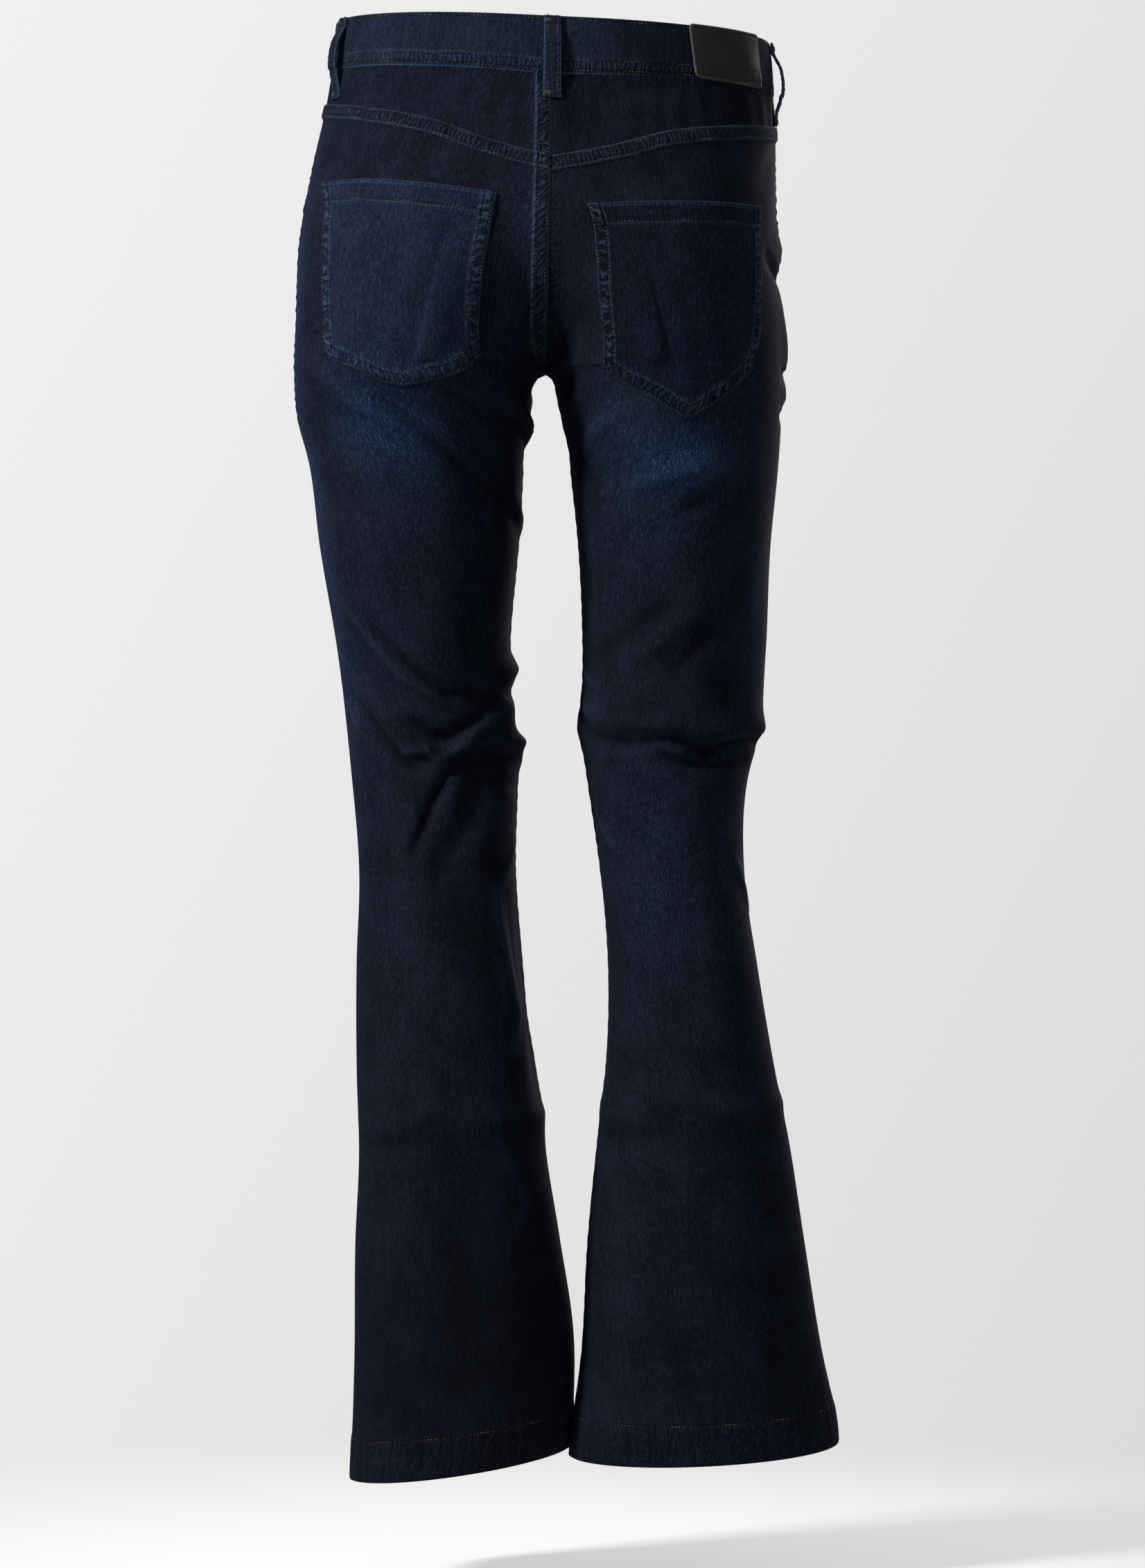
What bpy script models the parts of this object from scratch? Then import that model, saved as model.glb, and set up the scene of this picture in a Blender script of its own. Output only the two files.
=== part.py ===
# Bootcut jeans, hollow and in the shape they have when they are worn.
# Metres, +Z up. The origin is the centre of the waist opening and the front faces -Y.
# Every piece is cut from one surface. A place on it is a share of the way from the side seam (0)
# to the inner seam (1), a level, and a distance outwards.
import math

import bmesh
import bpy
import numpy as np
from mathutils import Vector

SEAM_GAP = 0.0003          # between pieces that are sewn together
LAP_GAP = 0.0008           # between layers whose facets do not line up
CLOTH = 0.0015             # one layer of denim
HEM_CLOTH = 0.0030         # the layers of a turned hem
HEM_HEIGHT = 0.030
WAISTBAND_HEIGHT = 0.038
WAISTBAND_DIP = 0.0042     # extra height at the centre back
WAISTBAND_CLOTH = 0.0030
WAISTBAND_PROUD = 0.0008   # the waistband stands this far outside the panels
WAISTBAND_LAP = 0.10       # share of a front quarter that the left end laps over the right end
LAP_RAMP = 0.12            # share of a front quarter over which the left end rises
CROTCH = -0.245            # level where the two legs part
BACK_FORK = 0.125          # height over which the back seam curves under to the crotch
FRONT_FORK = 0.085
FORK_CURVE = 2.2
FORK_BLEND = 0.3           # how softly the seat runs into the centre seam
ARCH = 0.040               # height over which the legs draw apart under the crotch
SECTION_STEPS = 48         # points worked out on each half section
FOLD_GIRTH = 0.24          # length of cloth that a fold's shares are measured on
WAIST_QUARTER = 0.208      # length of cloth from the side seam to the centre at the waist

# The side view of the figure, and how each section rounds.
# "seat" is how far the fullest point is from the centre seam, as a share of the half width.
PROFILE_COLUMNS = ("level", "back", "front", "seat", "square")
PROFILE = (
    (0.000, 0.101, -0.098, 0.15, 2.10),
    (-0.050, 0.109, -0.102, 0.22, 2.15),
    (-0.108, 0.126, -0.106, 0.32, 2.20),
    (-0.163, 0.137, -0.109, 0.40, 2.25),
    (-0.208, 0.136, -0.110, 0.46, 2.25),
    (-0.245, 0.127, -0.108, 0.50, 2.20),
    (-0.308, 0.108, -0.100, 0.50, 2.15),
    (-0.368, 0.094, -0.092, 0.50, 2.15),
    (-0.448, 0.076, -0.083, 0.50, 2.15),
    (-0.528, 0.062, -0.075, 0.50, 2.15),
    (-0.608, 0.058, -0.066, 0.50, 2.15),
    (-0.708, 0.064, -0.060, 0.50, 2.15),
    (-0.808, 0.064, -0.057, 0.50, 2.10),
    (-0.928, 0.058, -0.055, 0.50, 2.05),
    (-1.048, 0.054, -0.053, 0.50, 2.00),
)

# The outline of each half from behind, and how its sections turn and lean.
# "roll" is rise per metre to the left, "pitch" rise per metre to the back, "depth" scales the profile.
OUTLINE_COLUMNS = ("level", "side", "inner", "turn", "roll", "pitch", "depth")
LEFT_OUTLINE = (
    (0.000, 0.1565, 0.0215, 0.0, 0.048, 0.00, 1.00),
    (-0.050, 0.1622, 0.0215, 0.0, 0.050, 0.00, 1.00),
    (-0.108, 0.1742, 0.0215, 0.0, 0.050, 0.00, 1.00),
    (-0.163, 0.1835, 0.0215, 0.0, 0.040, 0.00, 1.00),
    (-0.208, 0.1855, 0.0215, 0.0, 0.018, 0.00, 1.00),
    (-0.245, 0.1870, 0.0215, 0.0, 0.000, 0.00, 1.00),
    (-0.276, 0.1850, 0.0200, 0.0, 0.000, 0.00, 1.00),
    (-0.308, 0.1768, 0.0222, 0.0, 0.000, 0.00, 1.00),
    (-0.368, 0.1690, 0.0262, 0.0, 0.000, 0.00, 1.00),
    (-0.448, 0.1558, 0.0325, 0.0, 0.000, 0.00, 1.00),
    (-0.528, 0.1468, 0.0270, 3.0, 0.000, 0.00, 1.00),
    (-0.608, 0.1406, 0.0280, 5.0, 0.000, 0.00, 1.00),
    (-0.668, 0.1425, 0.0220, 7.0, 0.000, 0.00, 1.01),
    (-0.748, 0.1424, 0.0125, 8.0, 0.000, 0.00, 1.04),
    (-0.808, 0.1408, 0.0060, 9.0, -0.010, 0.00, 1.08),
    (-0.868, 0.1436, -0.0035, 11.0, -0.040, -0.02, 1.13),
    (-0.948, 0.1446, -0.0145, 12.0, -0.090, -0.03, 1.19),
    (-1.008, 0.1468, -0.0140, 13.0, -0.130, -0.05, 1.20),
    (-1.048, 0.1490, -0.0110, 13.0, -0.140, -0.05, 1.22),
)
RIGHT_OUTLINE = (
    (0.000, -0.1545, -0.0050, 0.0, 0.048, 0.00, 1.00),
    (-0.050, -0.1582, -0.0050, 0.0, 0.050, 0.00, 1.00),
    (-0.108, -0.1592, -0.0050, 0.0, 0.050, 0.00, 1.00),
    (-0.163, -0.1605, -0.0050, 0.0, 0.040, 0.00, 1.00),
    (-0.208, -0.1640, -0.0050, 0.0, 0.018, 0.00, 1.00),
    (-0.245, -0.1650, -0.0050, 0.0, 0.000, 0.00, 1.00),
    (-0.276, -0.1632, -0.0070, 0.0, 0.000, 0.00, 1.00),
    (-0.308, -0.1612, -0.0110, 0.0, 0.000, 0.00, 1.00),
    (-0.368, -0.1555, -0.0175, 0.0, 0.000, 0.00, 1.00),
    (-0.448, -0.1520, -0.0208, 0.0, 0.000, 0.00, 1.00),
    (-0.508, -0.1465, -0.0200, 0.0, 0.000, 0.00, 1.00),
    (-0.533, -0.1400, -0.0235, 0.0, 0.000, 0.00, 1.00),
    (-0.608, -0.1370, -0.0340, 1.0, 0.000, 0.00, 1.00),
    (-0.668, -0.1455, -0.0390, 2.0, 0.000, 0.00, 1.00),
    (-0.748, -0.1590, -0.0370, 4.0, 0.000, 0.00, 1.00),
    (-0.798, -0.1690, -0.0310, 5.0, 0.000, -0.02, 1.00),
    (-0.868, -0.1800, -0.0240, 6.0, 0.000, -0.05, 1.00),
    (-0.948, -0.1930, -0.0190, 8.0, -0.010, -0.09, 1.00),
    (-1.008, -0.2050, -0.0110, 9.0, -0.020, -0.13, 1.00),
    (-1.048, -0.2078, -0.0085, 9.0, -0.020, -0.13, 1.00),
)
HEM_LEVEL = {"left": -1.0285, "right": -1.0192}

# The centre seam leans to the wearer's left on its way down.
SEAM_TOP = 0.0010
SEAM_BOTTOM = 0.0065

# The yoke seam, from the side seam to the centre back.
YOKE_COLUMNS = ("share", "level")
YOKE = (
    (0.00, -0.0640),
    (0.42, -0.0745),
    (0.65, -0.0840),
    (0.80, -0.0950),
    (1.00, -0.1060),
)

# The front-pocket opening: the front panel's top edge, from the side seam to the waistband.
OPENING_COLUMNS = ("share", "level")
OPENING = (
    (0.00, -0.128),
    (0.12, -0.124),
    (0.26, -0.110),
    (0.38, -0.084),
    (0.44, -0.056),
    (0.46, -0.038),
)

# The main folds. Shares run from the side seam (0) round the back (0.5) to the inner seam (1),
# and round the front as negative shares. A negative rise is a trough.
FOLD_COLUMNS = ("leg", "share from", "level from", "share to", "level to", "width", "rise")
FOLDS = (
    ("left", 0.20, -0.243, 0.46, -0.280, 0.013, 0.0050),
    ("left", 0.36, -0.258, 0.66, -0.298, 0.010, -0.0055),
    ("left", 0.66, -0.298, 0.80, -0.324, 0.010, -0.0045),
    ("left", 0.62, -0.255, 0.98, -0.285, 0.012, 0.0065),
    ("left", 0.24, -0.373, 0.36, -0.426, 0.016, 0.0030),
    ("left", 0.22, -0.406, 0.60, -0.478, 0.017, 0.0040),
    ("left", 0.10, -0.474, 0.38, -0.516, 0.011, -0.0045),
    ("left", 0.38, -0.516, 0.64, -0.540, 0.011, -0.0045),
    ("left", 0.66, -0.523, 0.96, -0.460, 0.014, 0.0055),
    ("left", 0.52, -0.590, 0.70, -0.528, 0.013, -0.0065),
    ("left", 0.80, -0.508, 1.02, -0.520, 0.012, 0.0055),
    ("left", 0.88, -0.636, 0.94, -0.708, 0.016, -0.0040),
    ("left", 0.94, -0.708, 0.88, -0.760, 0.016, -0.0035),
    ("left", 0.20, -0.786, 0.98, -0.778, 0.018, 0.0030),
    ("left", -0.85, -0.488, -0.35, -0.478, 0.016, 0.0040),
    ("left", -0.70, -0.538, -0.25, -0.523, 0.014, -0.0040),
    ("left", -0.95, -0.270, -0.55, -0.223, 0.013, 0.0050),
    ("left", -0.95, -0.298, -0.45, -0.258, 0.013, -0.0040),
    ("left", -0.80, -0.808, -0.30, -0.828, 0.020, 0.0030),
    ("right", 0.98, -0.498, 0.66, -0.518, 0.012, 0.0050),
    ("right", 0.86, -0.510, 0.40, -0.520, 0.010, -0.0070),
    ("right", 0.40, -0.520, 0.08, -0.508, 0.010, -0.0060),
    ("right", 0.30, -0.496, 0.02, -0.500, 0.013, 0.0055),
    ("right", 0.72, -0.270, 0.48, -0.328, 0.016, 0.0040),
    ("right", 0.52, -0.258, 0.36, -0.308, 0.014, -0.0030),
    ("right", 0.95, -0.276, 0.70, -0.260, 0.012, 0.0045),
    ("right", 0.10, -0.203, 0.02, -0.248, 0.014, 0.0030),
    ("right", 0.20, -0.778, 0.90, -0.772, 0.018, 0.0030),
    ("right", -0.90, -0.478, -0.30, -0.490, 0.015, 0.0045),
    ("right", -0.75, -0.533, -0.20, -0.520, 0.013, -0.0045),
    ("right", -0.95, -0.266, -0.50, -0.213, 0.013, 0.0050),
    ("right", -0.95, -0.296, -0.45, -0.248, 0.013, -0.0040),
    ("right", -0.80, -0.798, -0.25, -0.813, 0.020, 0.0030),
)

WAISTBAND_CELLS = (74, 2)
WAISTBAND_START = 0.004    # clear of the centre front, in quarters of the waist
PANEL_COLUMNS = 12
SEAT_ROWS = 9
ARCH_ROWS = 4
LEG_ROWS = 25
HEM_ROWS = 2
PANEL_ROWS = SEAT_ROWS + ARCH_ROWS + LEG_ROWS + HEM_ROWS
YOKE_ROWS = 3
SEAM_CROWDING = 0.4        # how much closer together the columns are at the seams
SEAM_SHARE = 0.0007        # share of a half section that a seam's gap takes from each side
OUTLINE_REACH = 0.05       # what lies further behind an outline than this is not part of the piece

# Each back pocket's corners, as shares and levels: outer top, inner top, inner foot, point, outer foot.
POCKETS = {
    "left": ((0.275, -0.1225), (0.850, -0.1300), (0.735, -0.2400), (0.500, -0.2625), (0.325, -0.2375)),
    "right": ((0.300, -0.1260), (0.885, -0.1340), (0.660, -0.2500), (0.463, -0.2840), (0.292, -0.2485)),
}
POCKET_CLOTH = 0.0015
POCKET_BAND = 0.0155       # height of the hem band along a pocket's top
POCKET_BAND_STEP = 0.0015  # width of the step down from the band
POCKET_BAND_CLOTH = 0.0024

LOOP_WIDTH = 0.012
LOOP_CLOTH = 0.0020
LOOP_STAND = 0.0052        # clear gap for the belt
LOOP_TOP = -0.0010
LOOP_FOOT = -0.0600
LOOP_CELLS = (2, 9)
# Each belt loop's place round the waist, in quarters from the centre front by way of the right side.
LOOPS = {
    "belt_loop_back": 2.00,
    "belt_loop_side_left": 2.82,
    "belt_loop_side_right": 1.04,
    "belt_loop_front_left": 3.52,
    "belt_loop_front_right": 0.48,
}

PATCH_CLOTH = 0.0018
PATCH = ((0.225, -0.0006), (0.525, -0.0006), (0.525, -0.0375), (0.238, -0.0375))

FACING_CELLS = (9, 5)
FACING_SHARES = (0.002, 0.58)
FACING_UNDERLAP = 0.016
FACING_GAP = 0.0022
SHIELD_CELLS = (5, 6)
SHIELD_START = 3.965       # just left of the centre front, in quarters of the waist
SHIELD_WIDTH = 0.036
SHIELD_LEVELS = (-0.0428, -0.150)

BUTTON_RADIUS = 0.0085
BUTTON_HEIGHT = 0.0042
BUTTON_INSET = 0.05        # share of a front quarter from the centre front

# Colours as linear values.
DENIM = (0.0115, 0.0150, 0.0270, 1.0)
DARK_DENIM = (0.0085, 0.0100, 0.0180, 1.0)
LEATHER = (0.0130, 0.0150, 0.0150, 1.0)
METAL = (0.23, 0.16, 0.09, 1.0)


def read_column(table, columns, name, level):
    """A smooth curve through one column of a table, read at any levels."""
    rows = sorted(table)
    known = np.array([row[0] for row in rows])
    values = np.array([row[columns.index(name)] for row in rows])
    slopes = np.gradient(values, known)
    level = np.clip(level, known[0], known[-1])
    low = np.clip(np.searchsorted(known, level) - 1, 0, len(known) - 2)
    span = known[low + 1] - known[low]
    t = (level - known[low]) / span
    start = values[low] * (1 + 2 * t) * (1 - t) ** 2 + slopes[low] * span * t * (1 - t) ** 2
    end = values[low + 1] * t * t * (3 - 2 * t) + slopes[low + 1] * span * t * t * (t - 1)
    return start + end


def profile(name, level):
    return read_column(PROFILE, PROFILE_COLUMNS, name, level)


def outline(leg, name, level):
    table = LEFT_OUTLINE if leg == "left" else RIGHT_OUTLINE
    return read_column(table, OUTLINE_COLUMNS, name, level)


def waist_seam(face, share):
    """The waistband's lower edge, which dips at the centre back."""
    dip = WAISTBAND_DIP * share ** 2 if face == "back" else 0.0 * share
    return -(WAISTBAND_HEIGHT + dip)


def pocket_opening(share):
    """The front panel's top edge where the pocket opens."""
    columns = dict(zip(OPENING_COLUMNS, zip(*OPENING)))
    return np.interp(share, columns["share"], columns["level"])


def fork(face, level):
    """How far the centre seam has come back out from under the crotch, from 0 to 1."""
    height = BACK_FORK if face == "back" else FRONT_FORK
    t = np.clip((level - CROTCH) / height, 0.0, 1.0)
    return (1 - (1 - t) ** FORK_CURVE) ** (1 / FORK_CURVE)


def inner_edge(leg, level):
    """Where a half section ends: the centre seam above the crotch, the inseam below it."""
    seam = SEAM_TOP + (SEAM_BOTTOM - SEAM_TOP) * np.clip(level / CROTCH, 0.0, 1.0) ** 2
    part = 1 - np.clip((CROTCH - level) / ARCH, 0.0, 1.0)
    apart = np.sqrt(1 - part ** 2)
    return seam + (outline(leg, "inner", level) - seam) * apart


def half_sections(leg, face, level):
    """The half section at each level, as points from the side seam to the inner seam."""
    level = level[:, None]
    side = outline(leg, "side", level)
    inner = inner_edge(leg, level)
    square = profile("square", level)
    middle = inner + (side - inner) * profile("seat", level)
    centre = (profile("back", level) + profile("front", level)) / 2
    reach = (profile(face, level) - centre) * outline(leg, "depth", level)
    turn = np.linspace(0, math.pi / 2, SECTION_STEPS)[None, :]
    outer_x = middle + (side - middle) * np.cos(turn) ** (2 / square)
    outer_y = centre + reach * np.sin(turn) ** (2 / square)
    way = np.sin(turn[:, 1:])
    out = fork(face, level)
    bare = way ** square
    seamed = np.sin(way * math.pi / 2) ** 2 * (1 - out ** square)
    blend = FORK_BLEND * out * (1 - out)
    dip = (bare + seamed - np.sqrt((bare - seamed) ** 2 + blend ** 2)) / 2
    inner_x = middle + (inner - middle) * way
    inner_y = centre + reach * np.maximum(1 - dip, 0.0) ** (1 / square)
    x = np.concatenate([outer_x, inner_x], axis=1)
    y = np.concatenate([outer_y, inner_y], axis=1)
    return x, y, middle[:, 0], centre[:, 0]


def smooth_surface(leg, face, share, level):
    """Points on the surface without its folds."""
    x, y, middle, centre = half_sections(leg, face, level)
    steps = np.hypot(np.diff(x, axis=1), np.diff(y, axis=1))
    run = np.concatenate([np.zeros((len(level), 1)), np.cumsum(steps, axis=1)], axis=1)
    run /= run[:, -1:]
    flat_x = np.array([np.interp(s, r, v) for s, r, v in zip(share, run, x)])
    flat_y = np.array([np.interp(s, r, v) for s, r, v in zip(share, run, y)])
    angle = np.radians(outline(leg, "turn", level))
    away_x = flat_x - middle
    away_y = flat_y - centre
    turned_x = middle + away_x * np.cos(angle) - away_y * np.sin(angle)
    turned_y = centre + away_x * np.sin(angle) + away_y * np.cos(angle)
    pivot = np.where(level > CROTCH, 0.0, middle)
    lean = outline(leg, "roll", level) * (turned_x - pivot)
    lean += outline(leg, "pitch", level) * (turned_y - centre)
    return np.stack([turned_x, turned_y, level + lean], axis=1)


def fold_rise(leg, face, share, level):
    """How far the folds lift or sink the cloth."""
    round_share = share if face == "back" else -share
    rise = np.zeros_like(share)
    for row in FOLDS:
        fold = dict(zip(FOLD_COLUMNS, row))
        if fold["leg"] != leg:
            continue
        run_across = (fold["share to"] - fold["share from"]) * FOLD_GIRTH
        run_down = fold["level to"] - fold["level from"]
        for wrap in (-2.0, 0.0, 2.0):
            across = (round_share + wrap - fold["share from"]) * FOLD_GIRTH
            down = level - fold["level from"]
            along = (across * run_across + down * run_down) / (run_across ** 2 + run_down ** 2)
            along = np.clip(along, 0.0, 1.0)
            away = np.hypot(across - along * run_across, down - along * run_down)
            swell = 0.55 + 0.45 * np.sin(math.pi * along)
            rise += fold["rise"] * swell * np.exp(-(away / fold["width"]) ** 2)
    held = np.clip((1 - share) / 0.12, 0.0, 1.0)
    above = np.clip((level - CROTCH + 0.02) / 0.02, 0.0, 1.0)
    return rise * (1 - above * (1 - held))


def cloth_points(leg, face, share, level, out=0.0):
    """Points on the folded surface, moved out by a distance."""
    share = np.asarray(share, dtype=float)
    level = np.asarray(level, dtype=float)
    step = 0.002
    ahead = smooth_surface(leg, face, np.clip(share + step, 0, 1), level)
    behind = smooth_surface(leg, face, np.clip(share - step, 0, 1), level)
    above = smooth_surface(leg, face, share, np.minimum(level + step, 0.0))
    below = smooth_surface(leg, face, share, level - step)
    normal = np.cross(ahead - behind, above - below)
    if (leg == "right") != (face == "front"):
        normal = -normal
    normal /= np.linalg.norm(normal, axis=1)[:, None]
    moved = fold_rise(leg, face, share, level) + out
    return smooth_surface(leg, face, share, level) + normal * moved[:, None]


def waist_points(distance, level, out=0.0):
    """Points round the waist. Distance counts quarters: 0 is the centre front, then the right side,
    the centre back at 2, the left side, and past 4 it laps over the right front again."""
    quarters = (
        ("right", "front", lambda d: 1 - d),
        ("right", "back", lambda d: d),
        ("left", "back", lambda d: 1 - d),
        ("left", "front", lambda d: d),
        ("right", "front", lambda d: 1 - d),
    )
    out = np.broadcast_to(np.asarray(out, dtype=float), distance.shape)
    points = np.zeros((len(distance), 3))
    quarter = np.clip(np.floor(distance).astype(int), 0, 4)
    for index, (leg, face, share) in enumerate(quarters):
        here = quarter == index
        if here.any():
            part = distance[here] - index
            points[here] = cloth_points(leg, face, share(part), level[here], out[here])
    return points


def row_levels(top, hem):
    """Levels of a leg panel's rows, closer together round the crotch. The last row is the hem."""
    seat = np.linspace(1, 0, SEAT_ROWS + 1) ** 1.45
    rows = [CROTCH + (top - CROTCH) * s for s in seat]
    for k in range(1, ARCH_ROWS + 1):
        rows.append(np.full_like(top, CROTCH - 0.045 * (k / ARCH_ROWS) ** 1.5))
    leg_top = CROTCH - 0.045
    stitch = hem + HEM_HEIGHT
    for k in range(1, LEG_ROWS + 1):
        rows.append(np.full_like(top, leg_top + (stitch - leg_top) * k / LEG_ROWS))
    for k in range(1, HEM_ROWS + 1):
        rows.append(np.full_like(top, stitch - HEM_HEIGHT * k / HEM_ROWS))
    return np.array(rows)


def make_material(name, colour, roughness, metallic=0.0):
    material = bpy.data.materials.new(name)
    material.use_nodes = True
    shader = material.node_tree.nodes["Principled BSDF"]
    shader.inputs["Base Color"].default_value = colour
    shader.inputs["Roughness"].default_value = roughness
    shader.inputs["Metallic"].default_value = metallic
    return material


def lay_grid(mesh, cells, place, flip):
    """Adds a grid laid on the surface by place(across, down), both from 0 to 1."""
    made = bmesh.ops.create_grid(mesh, x_segments=cells[0], y_segments=cells[1], size=1.0)["verts"]
    across = np.array([(v.co.x + 1) / 2 for v in made])
    down = np.array([(1 - v.co.y) / 2 for v in made])
    for vertex, point in zip(made, place(across, down)):
        vertex.co = point
    faces = list({face for vertex in made for face in vertex.link_faces})
    faces.sort(key=lambda face: face.index)
    if flip:
        bmesh.ops.reverse_faces(mesh, faces=faces)
    bmesh.ops.triangulate(mesh, faces=faces)


def skin(cells, place, flip=False):
    """The outer surface of a piece, where place(across, down, depth) goes depth into its wall."""
    mesh = bmesh.new()
    lay_grid(mesh, cells, lambda across, down: place(across, down, 0.0), flip)
    mesh.normal_update()
    return mesh


def add_piece(name, mesh, collection, material):
    """Makes an object of a bmesh."""
    data = bpy.data.meshes.new(name)
    mesh.to_mesh(data)
    mesh.free()
    data.shade_smooth()
    data.materials.append(material)
    piece = bpy.data.objects.new(name, data)
    collection.objects.link(piece)
    return piece


def add_wall(name, cells, place, collection, material, flip=False):
    """A piece with a wall: its outer surface, its inner surface and the rim between them."""
    mesh = skin(cells, place, flip)
    lay_grid(mesh, cells, lambda across, down: place(across, down, 1.0), not flip)
    bmesh.ops.bridge_loops(mesh, edges=[edge for edge in mesh.edges if edge.is_boundary])
    return add_piece(name, mesh, collection, material)


def add_layer(name, mesh, thickness, collection, material, thick=(), thin=1.0):
    """A piece that lies on another, from the surface it lies on. The vertices in thick have the full
    thickness, and where there are any the others have the thin share of it."""
    mesh.normal_update()
    for vertex in mesh.verts:
        vertex.co += vertex.normal * SEAM_GAP
    piece = add_piece(name, mesh, collection, material)
    wall = piece.modifiers.new("wall", "SOLIDIFY")
    wall.thickness = thickness
    wall.offset = 1.0
    if len(thick):
        group = piece.vertex_groups.new(name="thick")
        group.add([int(i) for i in thick], 1.0, "REPLACE")
        wall.vertex_group = group.name
        wall.thickness_vertex_group = thin


def cut(mesh, point, normal, clear=True):
    bmesh.ops.bisect_plane(
        mesh, geom=mesh.verts[:] + mesh.edges[:] + mesh.faces[:], dist=0.00002,
        plane_co=point, plane_no=normal, clear_outer=clear,
    )


def cut_to_outline(mesh, corners, axis):
    """Keeps what lies inside a convex outline, seen along an axis, and near it."""
    centre = sum(corners, Vector()) / len(corners)
    for start, end in zip(corners, corners[1:] + corners[:1]):
        away = (end - start).cross(axis).normalized()
        if away.dot(centre - start) > 0:
            away = -away
        cut(mesh, start, away)
    cut(mesh, centre - axis * OUTLINE_REACH, -axis)


def corner_points(leg, corners):
    shares, levels = np.array(corners).T
    return [Vector(point) for point in cloth_points(leg, "back", shares, levels)]


def outline_axis(corners, leg):
    axis = (corners[1] - corners[0]).cross(corners[2] - corners[1]).normalized()
    return axis if axis.y > 0 else -axis


def even_shares(across):
    """Shares of a panel's columns, closer together at its seams, where the leg turns most."""
    share = across - SEAM_CROWDING * np.sin(2 * math.pi * across) / (2 * math.pi)
    return SEAM_SHARE + share * (1 - 2 * SEAM_SHARE)


def panel_place(leg, face):
    """How a leg panel's grid lies on the surface."""
    def place(across, down, depth):
        share = even_shares(across)
        if face == "back":
            top = read_column(YOKE, YOKE_COLUMNS, "level", share)
        else:
            top = np.minimum(pocket_opening(share), waist_seam(face, share))
        rows = row_levels(top - SEAM_GAP / 2, HEM_LEVEL[leg])
        level = rows[np.rint(down * PANEL_ROWS).astype(int), np.arange(len(down))]
        in_hem = down > (PANEL_ROWS - HEM_ROWS) / PANEL_ROWS - 0.001
        return cloth_points(leg, face, share, level, -depth * np.where(in_hem, HEM_CLOTH, CLOTH))
    return place


def faces_in(leg, face):
    """True where a grid whose columns run from the side seam inwards faces into the leg."""
    return (leg == "right") == (face == "back")


def make_panel(leg, face, collection, material):
    cells = (PANEL_COLUMNS, PANEL_ROWS)
    add_wall(f"{face}_{leg}", cells, panel_place(leg, face), collection, material, faces_in(leg, face))


def make_yoke(leg, collection, material):
    def place(across, down, depth):
        share = even_shares(across)
        foot = read_column(YOKE, YOKE_COLUMNS, "level", share) + SEAM_GAP / 2
        top = waist_seam("back", share) - SEAM_GAP / 2
        return cloth_points(leg, "back", share, top + (foot - top) * down, -depth * CLOTH)

    cells = (PANEL_COLUMNS, YOKE_ROWS)
    add_wall(f"yoke_{leg}", cells, place, collection, material, faces_in(leg, "back"))


def waistband_place(across, down, depth):
    """The waistband starts at the centre front and laps over its own start."""
    distance = WAISTBAND_START + across * (4 + WAISTBAND_LAP - WAISTBAND_START)
    ramp = np.clip((distance - (4 - LAP_RAMP)) / LAP_RAMP, 0.0, 1.0)
    rise = ramp * ramp * (3 - 2 * ramp) * (WAISTBAND_CLOTH + LAP_GAP)
    share = np.clip(1 - np.abs(distance - 2), 0.0, 1.0)
    level = (waist_seam("back", share) + SEAM_GAP / 2) * down
    return waist_points(distance, level, WAISTBAND_PROUD + rise - depth * WAISTBAND_CLOTH)


def make_waistband(collection, material):
    add_wall("waistband", WAISTBAND_CELLS, waistband_place, collection, material, flip=True)


def make_patch(collection, material):
    """The patch is the waistband's own surface, cut to an outline and moved out."""
    mesh = skin(WAISTBAND_CELLS, waistband_place, flip=True)
    corners = corner_points("right", PATCH)
    cut_to_outline(mesh, corners, outline_axis(corners, "right"))
    add_layer("patch", mesh, PATCH_CLOTH, collection, material)


def make_back_pocket(leg, collection, material):
    """A pocket is the back panel's own surface, cut to its outline and moved out."""
    mesh = skin((PANEL_COLUMNS, PANEL_ROWS), panel_place(leg, "back"), faces_in(leg, "back"))
    corners = corner_points(leg, POCKETS[leg])
    axis = outline_axis(corners, leg)
    cut_to_outline(mesh, corners, axis)
    down = (corners[1] - corners[0]).cross(axis).normalized()
    if down.z > 0:
        down = -down
    for depth in (POCKET_BAND, POCKET_BAND + POCKET_BAND_STEP):
        cut(mesh, corners[0] + down * depth, down, clear=False)
    band_foot = POCKET_BAND + POCKET_BAND_STEP / 2
    band = [i for i, v in enumerate(mesh.verts) if (v.co - corners[0]).dot(down) < band_foot]
    add_layer(
        f"back_pocket_{leg}", mesh, POCKET_BAND_CLOTH, collection, material,
        band, POCKET_CLOTH / POCKET_BAND_CLOTH,
    )


def make_pocket_facing(leg, collection, material):
    def place(across, down, depth):
        share = FACING_SHARES[0] + across * (FACING_SHARES[1] - FACING_SHARES[0])
        top = waist_seam("front", share) - SEAM_GAP
        foot = pocket_opening(share) - FACING_UNDERLAP
        out = -(CLOTH + FACING_GAP) - depth * CLOTH
        return cloth_points(leg, "front", share, top + (foot - top) * down, out)

    add_wall(f"pocket_facing_{leg}", FACING_CELLS, place, collection, material, faces_in(leg, "front"))


def make_fly_shield(collection, material):
    def place(across, down, depth):
        distance = SHIELD_START + across * SHIELD_WIDTH / WAIST_QUARTER
        level = SHIELD_LEVELS[0] + (SHIELD_LEVELS[1] - SHIELD_LEVELS[0]) * down
        return waist_points(distance, level, -(CLOTH + LAP_GAP) - depth * CLOTH)

    add_wall("fly_shield", SHIELD_CELLS, place, collection, material, flip=True)


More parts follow.
